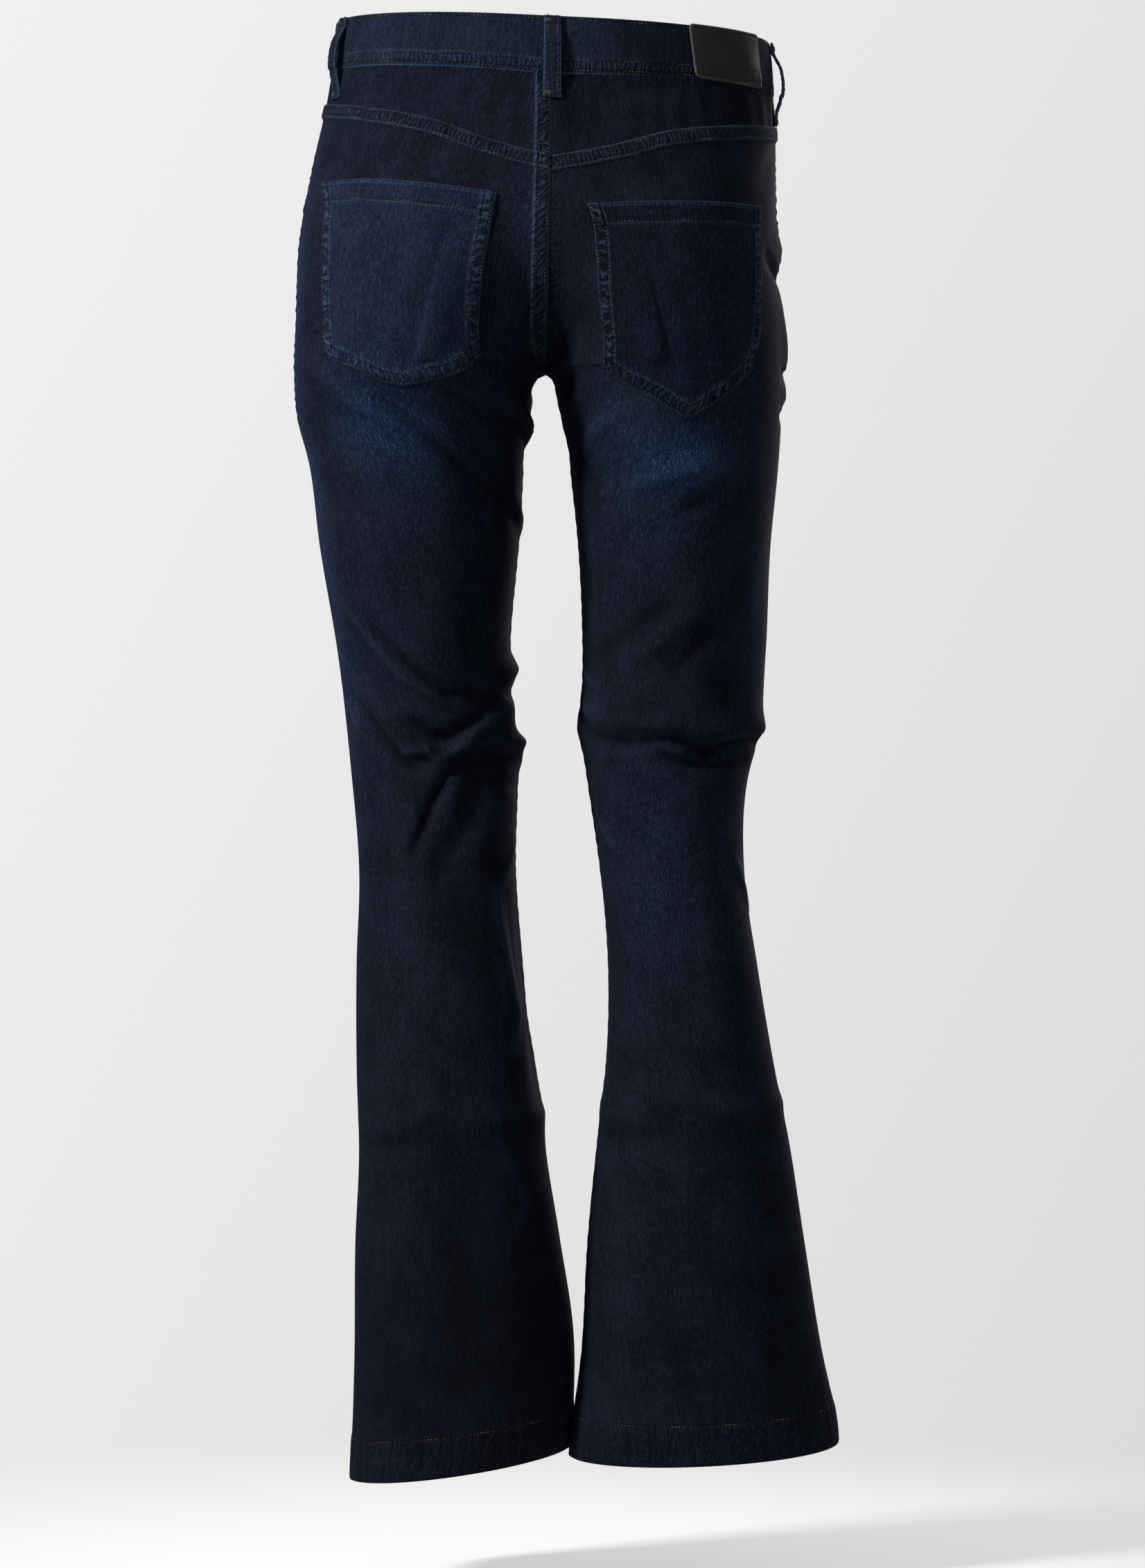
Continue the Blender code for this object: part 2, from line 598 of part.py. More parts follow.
def make_belt_loop(name, collection, material):
    def place(across, down, depth):
        distance = LOOPS[name] + (across - 0.5) * LOOP_WIDTH / WAIST_QUARTER
        level = LOOP_TOP + (LOOP_FOOT - LOOP_TOP) * down
        ease = np.clip(np.sin(math.pi * down) * 2.2, 0.0, 1.0)
        stand = WAISTBAND_PROUD + LAP_GAP + LOOP_STAND * ease * ease * (3 - 2 * ease)
        return waist_points(distance, level, stand + (1 - depth) * LOOP_CLOTH)

    add_wall(name, LOOP_CELLS, place, collection, material, flip=True)


def make_button(collection, material):
    """A shank button, turned round its axis and set on the waistband's lapped end."""
    profile_points = (
        (0.0, BUTTON_HEIGHT), (0.55, BUTTON_HEIGHT), (0.85, BUTTON_HEIGHT * 0.92), (1.0, BUTTON_HEIGHT * 0.70),
        (0.97, BUTTON_HEIGHT * 0.52), (0.45, BUTTON_HEIGHT * 0.42), (0.40, 0.0), (0.0, 0.0),
    )
    turned = bmesh.new()
    verts = [turned.verts.new((r * BUTTON_RADIUS, 0.0, z)) for r, z in profile_points]
    for first, second in zip(verts, verts[1:]):
        turned.edges.new((first, second))
    button = add_piece("waist_button", turned, collection, material)
    screw = button.modifiers.new("turn", "SCREW")
    screw.axis = "Z"
    screw.steps = 20
    screw.render_steps = 20
    screw.use_merge_vertices = True
    screw.merge_threshold = 0.00005
    distance = np.array([4 - BUTTON_INSET, 4 - BUTTON_INSET])
    level = np.array([-WAISTBAND_HEIGHT / 2] * 2)
    lap = WAISTBAND_PROUD + WAISTBAND_CLOTH + LAP_GAP + SEAM_GAP
    seat, tip = waist_points(distance, level, np.array([lap, lap + 0.01]))
    axis = (tip - seat) / np.linalg.norm(tip - seat)
    button.location = seat
    button.rotation_mode = "QUATERNION"
    button.rotation_quaternion = Vector(axis).to_track_quat("Z", "Y")


def build():
    for piece in list(bpy.data.objects):
        bpy.data.objects.remove(piece, do_unlink=True)
    jeans = bpy.data.collections.new("bootcut_jeans")
    bpy.context.scene.collection.children.link(jeans)
    denim = make_material("denim", DENIM, 0.85)
    dark = make_material("dark_denim", DARK_DENIM, 0.85)
    leather = make_material("leather", LEATHER, 0.55)
    metal = make_material("metal", METAL, 0.35, 1.0)
    make_waistband(jeans, dark)
    for leg in ("left", "right"):
        make_yoke(leg, jeans, dark)
        make_panel(leg, "back", jeans, denim)
        make_panel(leg, "front", jeans, denim)
        make_back_pocket(leg, jeans, denim)
        make_pocket_facing(leg, jeans, dark)
    for name in LOOPS:
        make_belt_loop(name, jeans, dark)
    make_patch(jeans, leather)
    make_fly_shield(jeans, dark)
    make_button(jeans, metal)


build()
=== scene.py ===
# Bootcut jeans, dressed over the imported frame. Metres, +Z up, the front faces -Y.
# A place on the cloth is a leg, a face, a share of the way from the side seam (0) to the inner
# seam (1), a level and a distance out.
import math

import bmesh
import bpy
import numpy as np
from mathutils import Matrix, Vector


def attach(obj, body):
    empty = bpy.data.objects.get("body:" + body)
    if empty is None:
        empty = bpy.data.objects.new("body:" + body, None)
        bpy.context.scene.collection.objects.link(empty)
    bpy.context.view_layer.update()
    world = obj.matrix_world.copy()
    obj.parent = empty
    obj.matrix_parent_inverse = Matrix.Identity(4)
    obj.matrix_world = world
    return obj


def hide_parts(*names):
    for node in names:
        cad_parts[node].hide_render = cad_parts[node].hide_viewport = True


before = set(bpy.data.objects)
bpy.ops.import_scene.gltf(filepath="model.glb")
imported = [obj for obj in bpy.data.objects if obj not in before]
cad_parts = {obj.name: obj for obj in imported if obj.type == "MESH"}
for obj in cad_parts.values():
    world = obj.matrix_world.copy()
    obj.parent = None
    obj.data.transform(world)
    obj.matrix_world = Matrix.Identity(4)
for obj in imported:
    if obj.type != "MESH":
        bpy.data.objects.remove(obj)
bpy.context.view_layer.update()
scene = bpy.context.scene
scene.view_settings.view_transform = "Standard"
print("frame loaded:", len(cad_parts), "nodes")


def newObject(name, data):
    made = bpy.data.objects.new(name, data)
    scene.collection.objects.link(made)
    return made


# camera
cameraSetup = {"place": (-0.013, 4.0, -0.5405), "seenHeight": 1.1315}
cameraData = bpy.data.cameras.new("camera")
cameraData.lens = 36.0 * cameraSetup["place"][1] / cameraSetup["seenHeight"]
camera = newObject("camera", cameraData)
camera.location = cameraSetup["place"]
camera.rotation_euler = (math.pi / 2, 0.0, math.pi)
scene.camera = camera

# the form of the garment
form = {
    "crotch": -0.245, "backFork": 0.125, "frontFork": 0.085, "forkCurve": 2.2, "forkBlend": 0.3,
    "arch": 0.040, "seamTop": 0.0010, "seamBottom": 0.0065,
    "waistDrop": 0.038, "waistDip": 0.0042, "waistQuarter": 0.208,
    "hem": {"left": -1.0285, "right": -1.0192}, "gap": 0.0003,
}
profileColumns = ("level", "back", "front", "seat", "square")
profileTable = (
    (0.000, 0.101, -0.098, 0.15, 2.10),
    (-0.050, 0.109, -0.102, 0.22, 2.15),
    (-0.108, 0.126, -0.106, 0.32, 2.20),
    (-0.163, 0.137, -0.109, 0.40, 2.25),
    (-0.208, 0.136, -0.110, 0.46, 2.25),
    (-0.245, 0.127, -0.108, 0.50, 2.20),
    (-0.308, 0.108, -0.100, 0.50, 2.15),
    (-0.368, 0.094, -0.092, 0.50, 2.15),
    (-0.448, 0.076, -0.083, 0.50, 2.15),
    (-0.528, 0.062, -0.075, 0.50, 2.15),
    (-0.608, 0.058, -0.066, 0.50, 2.15),
    (-0.708, 0.064, -0.060, 0.50, 2.15),
    (-0.808, 0.064, -0.057, 0.50, 2.10),
    (-0.928, 0.058, -0.055, 0.50, 2.05),
    (-1.048, 0.054, -0.053, 0.50, 2.00),
)
outlineColumns = ("level", "side", "inner", "turn", "roll", "pitch", "depth")
outlineTables = {
    "left": (
        (0.000, 0.1565, 0.0215, 0.0, 0.048, 0.00, 1.00),
        (-0.050, 0.1622, 0.0215, 0.0, 0.050, 0.00, 1.00),
        (-0.108, 0.1742, 0.0215, 0.0, 0.050, 0.00, 1.00),
        (-0.163, 0.1835, 0.0215, 0.0, 0.040, 0.00, 1.00),
        (-0.208, 0.1855, 0.0215, 0.0, 0.018, 0.00, 1.00),
        (-0.245, 0.1870, 0.0215, 0.0, 0.000, 0.00, 1.00),
        (-0.276, 0.1850, 0.0200, 0.0, 0.000, 0.00, 1.00),
        (-0.308, 0.1768, 0.0222, 0.0, 0.000, 0.00, 1.00),
        (-0.368, 0.1690, 0.0262, 0.0, 0.000, 0.00, 1.00),
        (-0.448, 0.1558, 0.0325, 0.0, 0.000, 0.00, 1.00),
        (-0.528, 0.1468, 0.0270, 3.0, 0.000, 0.00, 1.00),
        (-0.608, 0.1406, 0.0280, 5.0, 0.000, 0.00, 1.00),
        (-0.668, 0.1425, 0.0220, 7.0, 0.000, 0.00, 1.01),
        (-0.748, 0.1424, 0.0125, 8.0, 0.000, 0.00, 1.04),
        (-0.808, 0.1408, 0.0060, 9.0, -0.010, 0.00, 1.08),
        (-0.868, 0.1436, -0.0035, 11.0, -0.040, -0.02, 1.13),
        (-0.948, 0.1446, -0.0145, 12.0, -0.090, -0.03, 1.19),
        (-1.008, 0.1468, -0.0140, 13.0, -0.130, -0.05, 1.20),
        (-1.048, 0.1490, -0.0110, 13.0, -0.140, -0.05, 1.22),
    ),
    "right": (
        (0.000, -0.1545, -0.0050, 0.0, 0.048, 0.00, 1.00),
        (-0.050, -0.1582, -0.0050, 0.0, 0.050, 0.00, 1.00),
        (-0.108, -0.1592, -0.0050, 0.0, 0.050, 0.00, 1.00),
        (-0.163, -0.1605, -0.0050, 0.0, 0.040, 0.00, 1.00),
        (-0.208, -0.1640, -0.0050, 0.0, 0.018, 0.00, 1.00),
        (-0.245, -0.1650, -0.0050, 0.0, 0.000, 0.00, 1.00),
        (-0.276, -0.1632, -0.0070, 0.0, 0.000, 0.00, 1.00),
        (-0.308, -0.1612, -0.0110, 0.0, 0.000, 0.00, 1.00),
        (-0.368, -0.1555, -0.0175, 0.0, 0.000, 0.00, 1.00),
        (-0.448, -0.1520, -0.0208, 0.0, 0.000, 0.00, 1.00),
        (-0.508, -0.1465, -0.0200, 0.0, 0.000, 0.00, 1.00),
        (-0.533, -0.1400, -0.0235, 0.0, 0.000, 0.00, 1.00),
        (-0.608, -0.1370, -0.0340, 1.0, 0.000, 0.00, 1.00),
        (-0.668, -0.1455, -0.0390, 2.0, 0.000, 0.00, 1.00),
        (-0.748, -0.1590, -0.0370, 4.0, 0.000, 0.00, 1.00),
        (-0.798, -0.1690, -0.0310, 5.0, 0.000, -0.02, 1.00),
        (-0.868, -0.1800, -0.0240, 6.0, 0.000, -0.05, 1.00),
        (-0.948, -0.1930, -0.0190, 8.0, -0.010, -0.09, 1.00),
        (-1.008, -0.2050, -0.0110, 9.0, -0.020, -0.13, 1.00),
        (-1.048, -0.2078, -0.0085, 9.0, -0.020, -0.13, 1.00),
    ),
}
# yoke seam, and where the front pockets open, as shares and levels
yokeSeam = ((0.00, -0.0640), (0.42, -0.0745), (0.65, -0.0840), (0.80, -0.0950), (1.00, -0.1060))
openingEdge = ((0.00, -0.128), (0.12, -0.124), (0.26, -0.110), (0.38, -0.084), (0.44, -0.056), (0.46, -0.038))

# Folds: leg, share from, level from, share to, level to, width, rise. Shares run round the back
# as positive numbers and round the front as negative ones, and a negative rise is a trough.
mainFolds = (
    ("left", 0.20, -0.243, 0.46, -0.280, 0.013, 0.0050),
    ("left", 0.36, -0.258, 0.66, -0.298, 0.010, -0.0055),
    ("left", 0.66, -0.298, 0.80, -0.324, 0.010, -0.0045),
    ("left", 0.62, -0.255, 0.98, -0.285, 0.012, 0.0065),
    ("left", 0.24, -0.373, 0.36, -0.426, 0.016, 0.0030),
    ("left", 0.22, -0.406, 0.60, -0.478, 0.017, 0.0040),
    ("left", 0.10, -0.474, 0.38, -0.516, 0.011, -0.0045),
    ("left", 0.38, -0.516, 0.64, -0.540, 0.011, -0.0045),
    ("left", 0.66, -0.523, 0.96, -0.460, 0.014, 0.0055),
    ("left", 0.52, -0.590, 0.70, -0.528, 0.013, -0.0065),
    ("left", 0.80, -0.508, 1.02, -0.520, 0.012, 0.0055),
    ("left", 0.88, -0.636, 0.94, -0.708, 0.016, -0.0040),
    ("left", 0.94, -0.708, 0.88, -0.760, 0.016, -0.0035),
    ("left", 0.20, -0.786, 0.98, -0.778, 0.018, 0.0030),
    ("left", -0.85, -0.488, -0.35, -0.478, 0.016, 0.0040),
    ("left", -0.70, -0.538, -0.25, -0.523, 0.014, -0.0040),
    ("left", -0.95, -0.270, -0.55, -0.223, 0.013, 0.0050),
    ("left", -0.95, -0.298, -0.45, -0.258, 0.013, -0.0040),
    ("left", -0.80, -0.808, -0.30, -0.828, 0.020, 0.0030),
    ("right", 0.98, -0.498, 0.66, -0.518, 0.012, 0.0050),
    ("right", 0.86, -0.510, 0.40, -0.520, 0.010, -0.0052),
    ("right", 0.40, -0.520, 0.08, -0.508, 0.010, -0.0060),
    ("right", 0.30, -0.496, 0.02, -0.500, 0.013, 0.0055),
    ("right", 0.72, -0.270, 0.48, -0.328, 0.016, 0.0040),
    ("right", 0.52, -0.258, 0.36, -0.308, 0.014, -0.0030),
    ("right", 0.95, -0.276, 0.70, -0.260, 0.012, 0.0045),
    ("right", 0.10, -0.203, 0.02, -0.248, 0.014, 0.0030),
    ("right", 0.20, -0.778, 0.90, -0.772, 0.018, 0.0030),
    ("right", -0.90, -0.478, -0.30, -0.490, 0.015, 0.0045),
    ("right", -0.75, -0.533, -0.20, -0.520, 0.013, -0.0045),
    ("right", -0.95, -0.266, -0.50, -0.213, 0.013, 0.0050),
    ("right", -0.95, -0.296, -0.45, -0.248, 0.013, -0.0040),
    ("right", -0.80, -0.798, -0.25, -0.813, 0.020, 0.0030),
)
# The finer creases that only this scene has, with how pale each one's ridge is, from wear and painted highlight.
fineFolds = (
    # below the left pocket and round the inner thigh
    ("left", 0.29, -0.250, 0.47, -0.289, 0.0065, 0.0012, 0.08),
    ("left", 0.42, -0.262, 0.55, -0.300, 0.0060, -0.0018, 0.0),
    ("left", 0.55, -0.300, 0.66, -0.325, 0.0060, -0.0021, 0.0),
    ("left", 0.66, -0.325, 0.90, -0.352, 0.0070, -0.0018, 0.0),
    ("left", 0.44, -0.296, 0.62, -0.338, 0.0090, 0.0013, 0.0),
    ("left", 0.56, -0.256, 0.68, -0.272, 0.0045, 0.0016, 0.12),
    ("left", 0.68, -0.272, 0.98, -0.286, 0.0050, 0.0022, 0.04),
    ("left", 0.60, -0.264, 0.98, -0.296, 0.0050, -0.0024, 0.0),
    ("left", 0.13, -0.278, 0.22, -0.315, 0.0060, 0.0012, 0.08),
    ("left", 0.86, -0.340, 1.05, -0.356, 0.0090, 0.0016, 0.0),
    # long drag lines down the left thigh
    ("left", 0.13, -0.378, 0.315, -0.426, 0.0040, 0.0013, 0.20),
    ("left", 0.315, -0.426, 0.435, -0.466, 0.0040, 0.0014, 0.20),
    ("left", 0.435, -0.466, 0.555, -0.482, 0.0040, 0.0012, 0.12),
    ("left", 0.34, -0.424, 0.435, -0.450, 0.0055, -0.0018, 0.0),
    ("left", 0.435, -0.450, 0.565, -0.478, 0.0055, -0.0022, 0.0),
    ("left", 0.565, -0.478, 0.74, -0.476, 0.0055, -0.0018, 0.0),
    ("left", 0.10, -0.410, 0.22, -0.452, 0.0080, -0.0012, 0.0),
    ("left", 0.85, -0.461, 1.12, -0.452, 0.0075, 0.0025, 0.0),
    ("left", 0.86, -0.478, 1.10, -0.472, 0.0060, -0.0016, 0.0),
    # back of the left knee
    ("left", 0.12, -0.475, 0.24, -0.493, 0.0042, -0.0024, 0.0),
    ("left", 0.24, -0.493, 0.325, -0.515, 0.0040, -0.0028, 0.0),
    ("left", 0.325, -0.515, 0.43, -0.532, 0.0040, -0.0026, 0.0),
    ("left", 0.09, -0.481, 0.21, -0.506, 0.0045, 0.0016, 0.12),
    ("left", 0.27, -0.520, 0.40, -0.540, 0.0060, 0.0014, 0.0),
    ("left", 0.385, -0.519, 0.47, -0.517, 0.0040, 0.0022, 0.06),
    ("left", 0.47, -0.517, 0.535, -0.530, 0.0038, 0.0026, 0.08),
    ("left", 0.40, -0.525, 0.48, -0.525, 0.0038, -0.0016, 0.0),
    ("left", 0.43, -0.495, 0.51, -0.507, 0.0045, -0.0024, 0.0),
    ("left", 0.51, -0.507, 0.56, -0.507, 0.0040, -0.0034, 0.0),
    ("left", 0.56, -0.507, 0.70, -0.487, 0.0042, -0.0034, 0.0),
    ("left", 0.70, -0.487, 0.94, -0.468, 0.0050, -0.0022, 0.0),
    ("left", 0.555, -0.516, 0.705, -0.494, 0.0045, 0.0020, 0.08),
    ("left", 0.705, -0.494, 0.84, -0.484, 0.0045, 0.0016, 0.10),
    ("left", 0.30, -0.494, 0.46, -0.490, 0.0060, 0.0012, 0.0),
    ("left", 0.55, -0.531, 0.485, -0.550, 0.0038, -0.0032, 0.0),
    ("left", 0.485, -0.550, 0.385, -0.589, 0.0040, -0.0032, 0.0),
    ("left", 0.60, -0.545, 0.46, -0.594, 0.0085, 0.0015, 0.0),
    ("left", 0.525, -0.523, 0.615, -0.513, 0.0040, 0.0022, 0.05),
    ("left", 0.615, -0.513, 0.985, -0.510, 0.0050, 0.0020, 0.04),
    ("left", 0.57, -0.528, 0.92, -0.520, 0.0055, -0.0020, 0.0),
    ("left", 0.85, -0.508, 1.10, -0.509, 0.0060, 0.0010, 0.0),
    ("left", 0.62, -0.538, 0.92, -0.542, 0.0070, -0.0012, 0.0),
    ("left", 0.48, -0.588, 0.47, -0.616, 0.0085, -0.0012, 0.0),
    ("left", 0.20, -0.545, 0.30, -0.585, 0.0090, -0.0010, 0.0),
    ("left", 0.50, -0.600, 0.62, -0.680, 0.0200, -0.0014, 0.0),
    # down the left calf
    ("left", 0.89, -0.583, 0.72, -0.617, 0.0045, 0.0013, 0.16),
    ("left", 0.72, -0.617, 0.73, -0.640, 0.0045, 0.0012, 0.22),
    ("left", 0.73, -0.640, 0.78, -0.702, 0.0045, 0.0012, 0.26),
    ("left", 0.78, -0.702, 0.74, -0.7315, 0.0045, 0.0012, 0.26),
    ("left", 0.80, -0.628, 0.84, -0.690, 0.0060, -0.0012, 0.0),
    ("left", 0.70, -0.662, 0.72, -0.706, 0.0040, 0.0006, 0.14),
    ("left", 0.04, -0.783, 0.31, -0.787, 0.0065, 0.0013, 0.05),
    ("left", 0.31, -0.787, 0.50, -0.777, 0.0065, -0.0012, 0.0),
    ("left", 0.50, -0.777, 0.94, -0.777, 0.0065, 0.0013, 0.05),
    ("left", 0.05, -0.797, 0.45, -0.793, 0.0075, -0.0012, 0.0),
    ("left", 0.63, -0.797, 0.71, -0.841, 0.0045, 0.0009, 0.14),
    ("left", 0.71, -0.841, 0.67, -0.859, 0.0045, 0.0009, 0.12),
    ("left", 0.46, -0.800, 0.44, -0.960, 0.0160, -0.0010, 0.0),
    ("left", 0.20, -0.940, 0.60, -0.955, 0.0080, 0.0007, 0.0),
    # right hip and thigh
    ("right", -0.02, -0.152, 0.10, -0.150, 0.0120, 0.0022, 0.0),
    ("right", -0.04, -0.178, 0.24, -0.163, 0.0070, -0.0034, 0.0),
    ("right", 0.02, -0.168, 0.20, -0.156, 0.0045, 0.0008, 0.16),
    ("right", -0.03, -0.2475, 0.10, -0.246, 0.0045, -0.0018, 0.0),
    ("right", -0.03, -0.262, 0.08, -0.262, 0.0060, 0.0012, 0.0),
    ("right", -0.03, -0.276, 0.08, -0.275, 0.0045, -0.0014, 0.0),
    ("right", 0.61, -0.330, 0.37, -0.312, 0.0080, 0.0018, 0.06),
    ("right", 0.78, -0.299, 0.64, -0.281, 0.0065, 0.0014, 0.12),
    ("right", 0.90, -0.290, 0.74, -0.330, 0.0090, -0.0012, 0.0),
    ("right", 0.48, -0.349, 0.36, -0.326, 0.0075, -0.0018, 0.0),
    ("right", 0.92, -0.148, 0.96, -0.240, 0.0070, -0.0010, 0.0),
    ("right", 0.78, -0.450, 0.52, -0.415, 0.0075, -0.0017, 0.0),
    ("right", 0.49, -0.459, 0.39, -0.432, 0.0075, -0.0017, 0.0),
    ("right", 0.64, -0.456, 0.46, -0.424, 0.0080, 0.0014, 0.0),
    # the crease behind the right knee
    ("right", 0.95, -0.478, 0.76, -0.494, 0.0060, 0.0018, 0.08),
    ("right", 0.76, -0.494, 0.44, -0.500, 0.0060, 0.0018, 0.0),
    ("right", 0.40, -0.504, 0.05, -0.502, 0.0065, 0.0026, 0.0),
    ("right", 0.96, -0.482, 0.90, -0.495, 0.0040, -0.0026, 0.0),
    ("right", 0.90, -0.495, 0.785, -0.507, 0.0036, -0.0022, 0.0),
    ("right", 0.785, -0.507, 0.65, -0.5115, 0.0036, -0.0016, 0.0),
    ("right", 0.65, -0.5115, 0.485, -0.5105, 0.0034, -0.0013, 0.0),
    ("right", 0.485, -0.5105, 0.395, -0.516, 0.0036, -0.0020, 0.0),
    ("right", 0.395, -0.516, 0.345, -0.5215, 0.0036, -0.0030, 0.0),
    ("right", 0.345, -0.5215, 0.29, -0.513, 0.0036, -0.0034, 0.0),
    ("right", 0.29, -0.513, 0.16, -0.507, 0.0040, -0.0030, 0.0),
    ("right", 0.16, -0.507, 0.00, -0.511, 0.0040, -0.0022, 0.0),
    ("right", 0.54, -0.5205, 0.44, -0.528, 0.0045, -0.0020, 0.0),
    ("right", 0.44, -0.528, 0.32, -0.5294, 0.0045, -0.0026, 0.0),
    ("right", 0.32, -0.5294, 0.13, -0.524, 0.0050, -0.0020, 0.0),
    ("right", 0.80, -0.520, 0.60, -0.5185, 0.0050, 0.0010, 0.06),
    ("right", 0.55, -0.514, 0.42, -0.5215, 0.0036, 0.0014, 0.05),
    ("right", 0.92, -0.459, 0.78, -0.471, 0.0045, 0.0014, 0.14),
    ("right", 0.78, -0.471, 0.81, -0.489, 0.0045, 0.0014, 0.14),
    ("right", 0.98, -0.470, 0.90, -0.484, 0.0050, -0.0014, 0.0),
    # down the right calf
    ("right", 0.76, -0.539, 0.52, -0.583, 0.0085, 0.0016, 0.0),
    ("right", 0.52, -0.583, 0.46, -0.597, 0.0085, 0.0014, 0.0),
    ("right", 0.85, -0.567, 0.75, -0.588, 0.0045, 0.0012, 0.16),
    ("right", 0.19, -0.597, 0.04, -0.629, 0.0055, 0.0013, 0.14),
    ("right", 0.95, -0.620, 0.84, -0.680, 0.0080, -0.0010, 0.0),
    ("right", 0.98, -0.774, 0.71, -0.777, 0.0065, 0.0013, 0.05),
    ("right", 0.71, -0.777, 0.47, -0.770, 0.0065, -0.0012, 0.0),
    ("right", 0.47, -0.770, 0.02, -0.7685, 0.0065, 0.0013, 0.05),
    ("right", 0.92, -0.790, 0.60, -0.788, 0.0075, -0.0010, 0.0),
    ("right", 0.81, -0.961, 0.52, -0.954, 0.0050, 0.0009, 0.0),
    ("right", 0.30, -0.930, 0.24, -0.985, 0.0120, -0.0010, 0.0),
    # slack in the yokes and below them
    ("left", 0.58, -0.044, 0.90, -0.064, 0.0080, -0.0014, 0.0),
    ("left", 0.66, -0.058, 0.92, -0.078, 0.0090, 0.0010, 0.0),
    ("left", 0.16, -0.056, 0.44, -0.062, 0.0070, -0.0009, 0.0),
    ("left", 0.14, -0.096, 0.34, -0.110, 0.0080, -0.0012, 0.0),
    ("left", 0.20, -0.108, 0.44, -0.117, 0.0060, 0.0008, 0.0),
    ("left", 0.88, -0.150, 0.95, -0.205, 0.0080, -0.0010, 0.0),
    ("right", 0.60, -0.046, 0.88, -0.058, 0.0080, -0.0011, 0.0),
    ("right", 0.10, -0.080, 0.26, -0.104, 0.0080, -0.0012, 0.0),
    ("right", 0.56, -0.098, 0.84, -0.116, 0.0080, -0.0009, 0.0),
    # hidden front: hip whiskers, knees and shins, all a little different
    ("left", -0.92, -0.262, -0.64, -0.236, 0.0060, 0.0016, 0.12),
    ("left", -0.90, -0.280, -0.58, -0.262, 0.0065, -0.0016, 0.0),
    ("left", -0.94, -0.302, -0.66, -0.290, 0.0060, 0.0013, 0.10),
    ("left", -0.70, -0.500, -0.30, -0.508, 0.0070, 0.0016, 0.05),
    ("left", -0.62, -0.520, -0.36, -0.548, 0.0065, -0.0018, 0.0),
    ("left", -0.40, -0.560, -0.66, -0.590, 0.0080, 0.0013, 0.0),
    ("left", -0.80, -0.640, -0.60, -0.700, 0.0090, -0.0010, 0.0),
    ("left", -0.20, -0.380, -0.42, -0.440, 0.0080, 0.0012, 0.06),
    ("right", -0.90, -0.254, -0.60, -0.226, 0.0060, 0.0016, 0.12),
    ("right", -0.92, -0.276, -0.62, -0.252, 0.0065, -0.0017, 0.0),
    ("right", -0.92, -0.306, -0.70, -0.286, 0.0060, 0.0012, 0.10),
    ("right", -0.74, -0.494, -0.34, -0.502, 0.0070, 0.0017, 0.05),
    ("right", -0.66, -0.514, -0.30, -0.532, 0.0060, -0.0018, 0.0),
    ("right", -0.36, -0.552, -0.58, -0.586, 0.0085, 0.0012, 0.0),
    ("right", -0.24, -0.372, -0.48, -0.424, 0.0080, 0.0013, 0.06),
    ("right", -0.70, -0.660, -0.54, -0.716, 0.0090, -0.0010, 0.0),
)


# A rounded line from first to last, t of the way along.
def rounded(first, last, firstSlope, lastSlope, t):
    start = first * (1 + 2 * t) * (1 - t) ** 2 + firstSlope * t * (1 - t) ** 2
    return start + (last * t * t * (3 - 2 * t) + lastSlope * t * t * (t - 1))


def readColumn(rows, columns, name, at):
    rows = sorted(rows)
    known = np.array([row[0] for row in rows])
    values = np.array([row[columns.index(name)] for row in rows])
    slopes = np.gradient(values, known)
    at = np.clip(at, known[0], known[-1])
    low = np.clip(np.searchsorted(known, at) - 1, 0, len(known) - 2)
    span = known[low + 1] - known[low]
    t = (at - known[low]) / span
    return rounded(values[low], values[low + 1], slopes[low] * span, slopes[low + 1] * span, t)


def readPairs(pairs, at):
    return readColumn(pairs, ("share", "level"), "level", at)


def ease(value, low, high):
    t = np.clip((value - low) / (high - low), 0.0, 1.0)
    return t * t * (3 - 2 * t)


def waistSeam(face, share):
    dip = form["waistDip"] * share ** 2 if face == "back" else 0.0 * share
    return -(form["waistDrop"] + dip)


def pocketOpening(share):
    return np.interp(share, *zip(*openingEdge))


shareSteps = np.linspace(0.0, 1.0, 161)
# levels lie 2 mm apart, 1 mm just below the crotch, and closest together where the legs part
levelSteps = np.unique(np.concatenate([
    np.arange(-1.0500, -0.2995, 0.0020), np.arange(-0.3000, -0.2455, 0.0010),
    form["crotch"] + 0.015 * np.linspace(0, 1, 31) ** 2, np.arange(-0.2280, 0.0001, 0.0020), [0.0],
]).round(6))


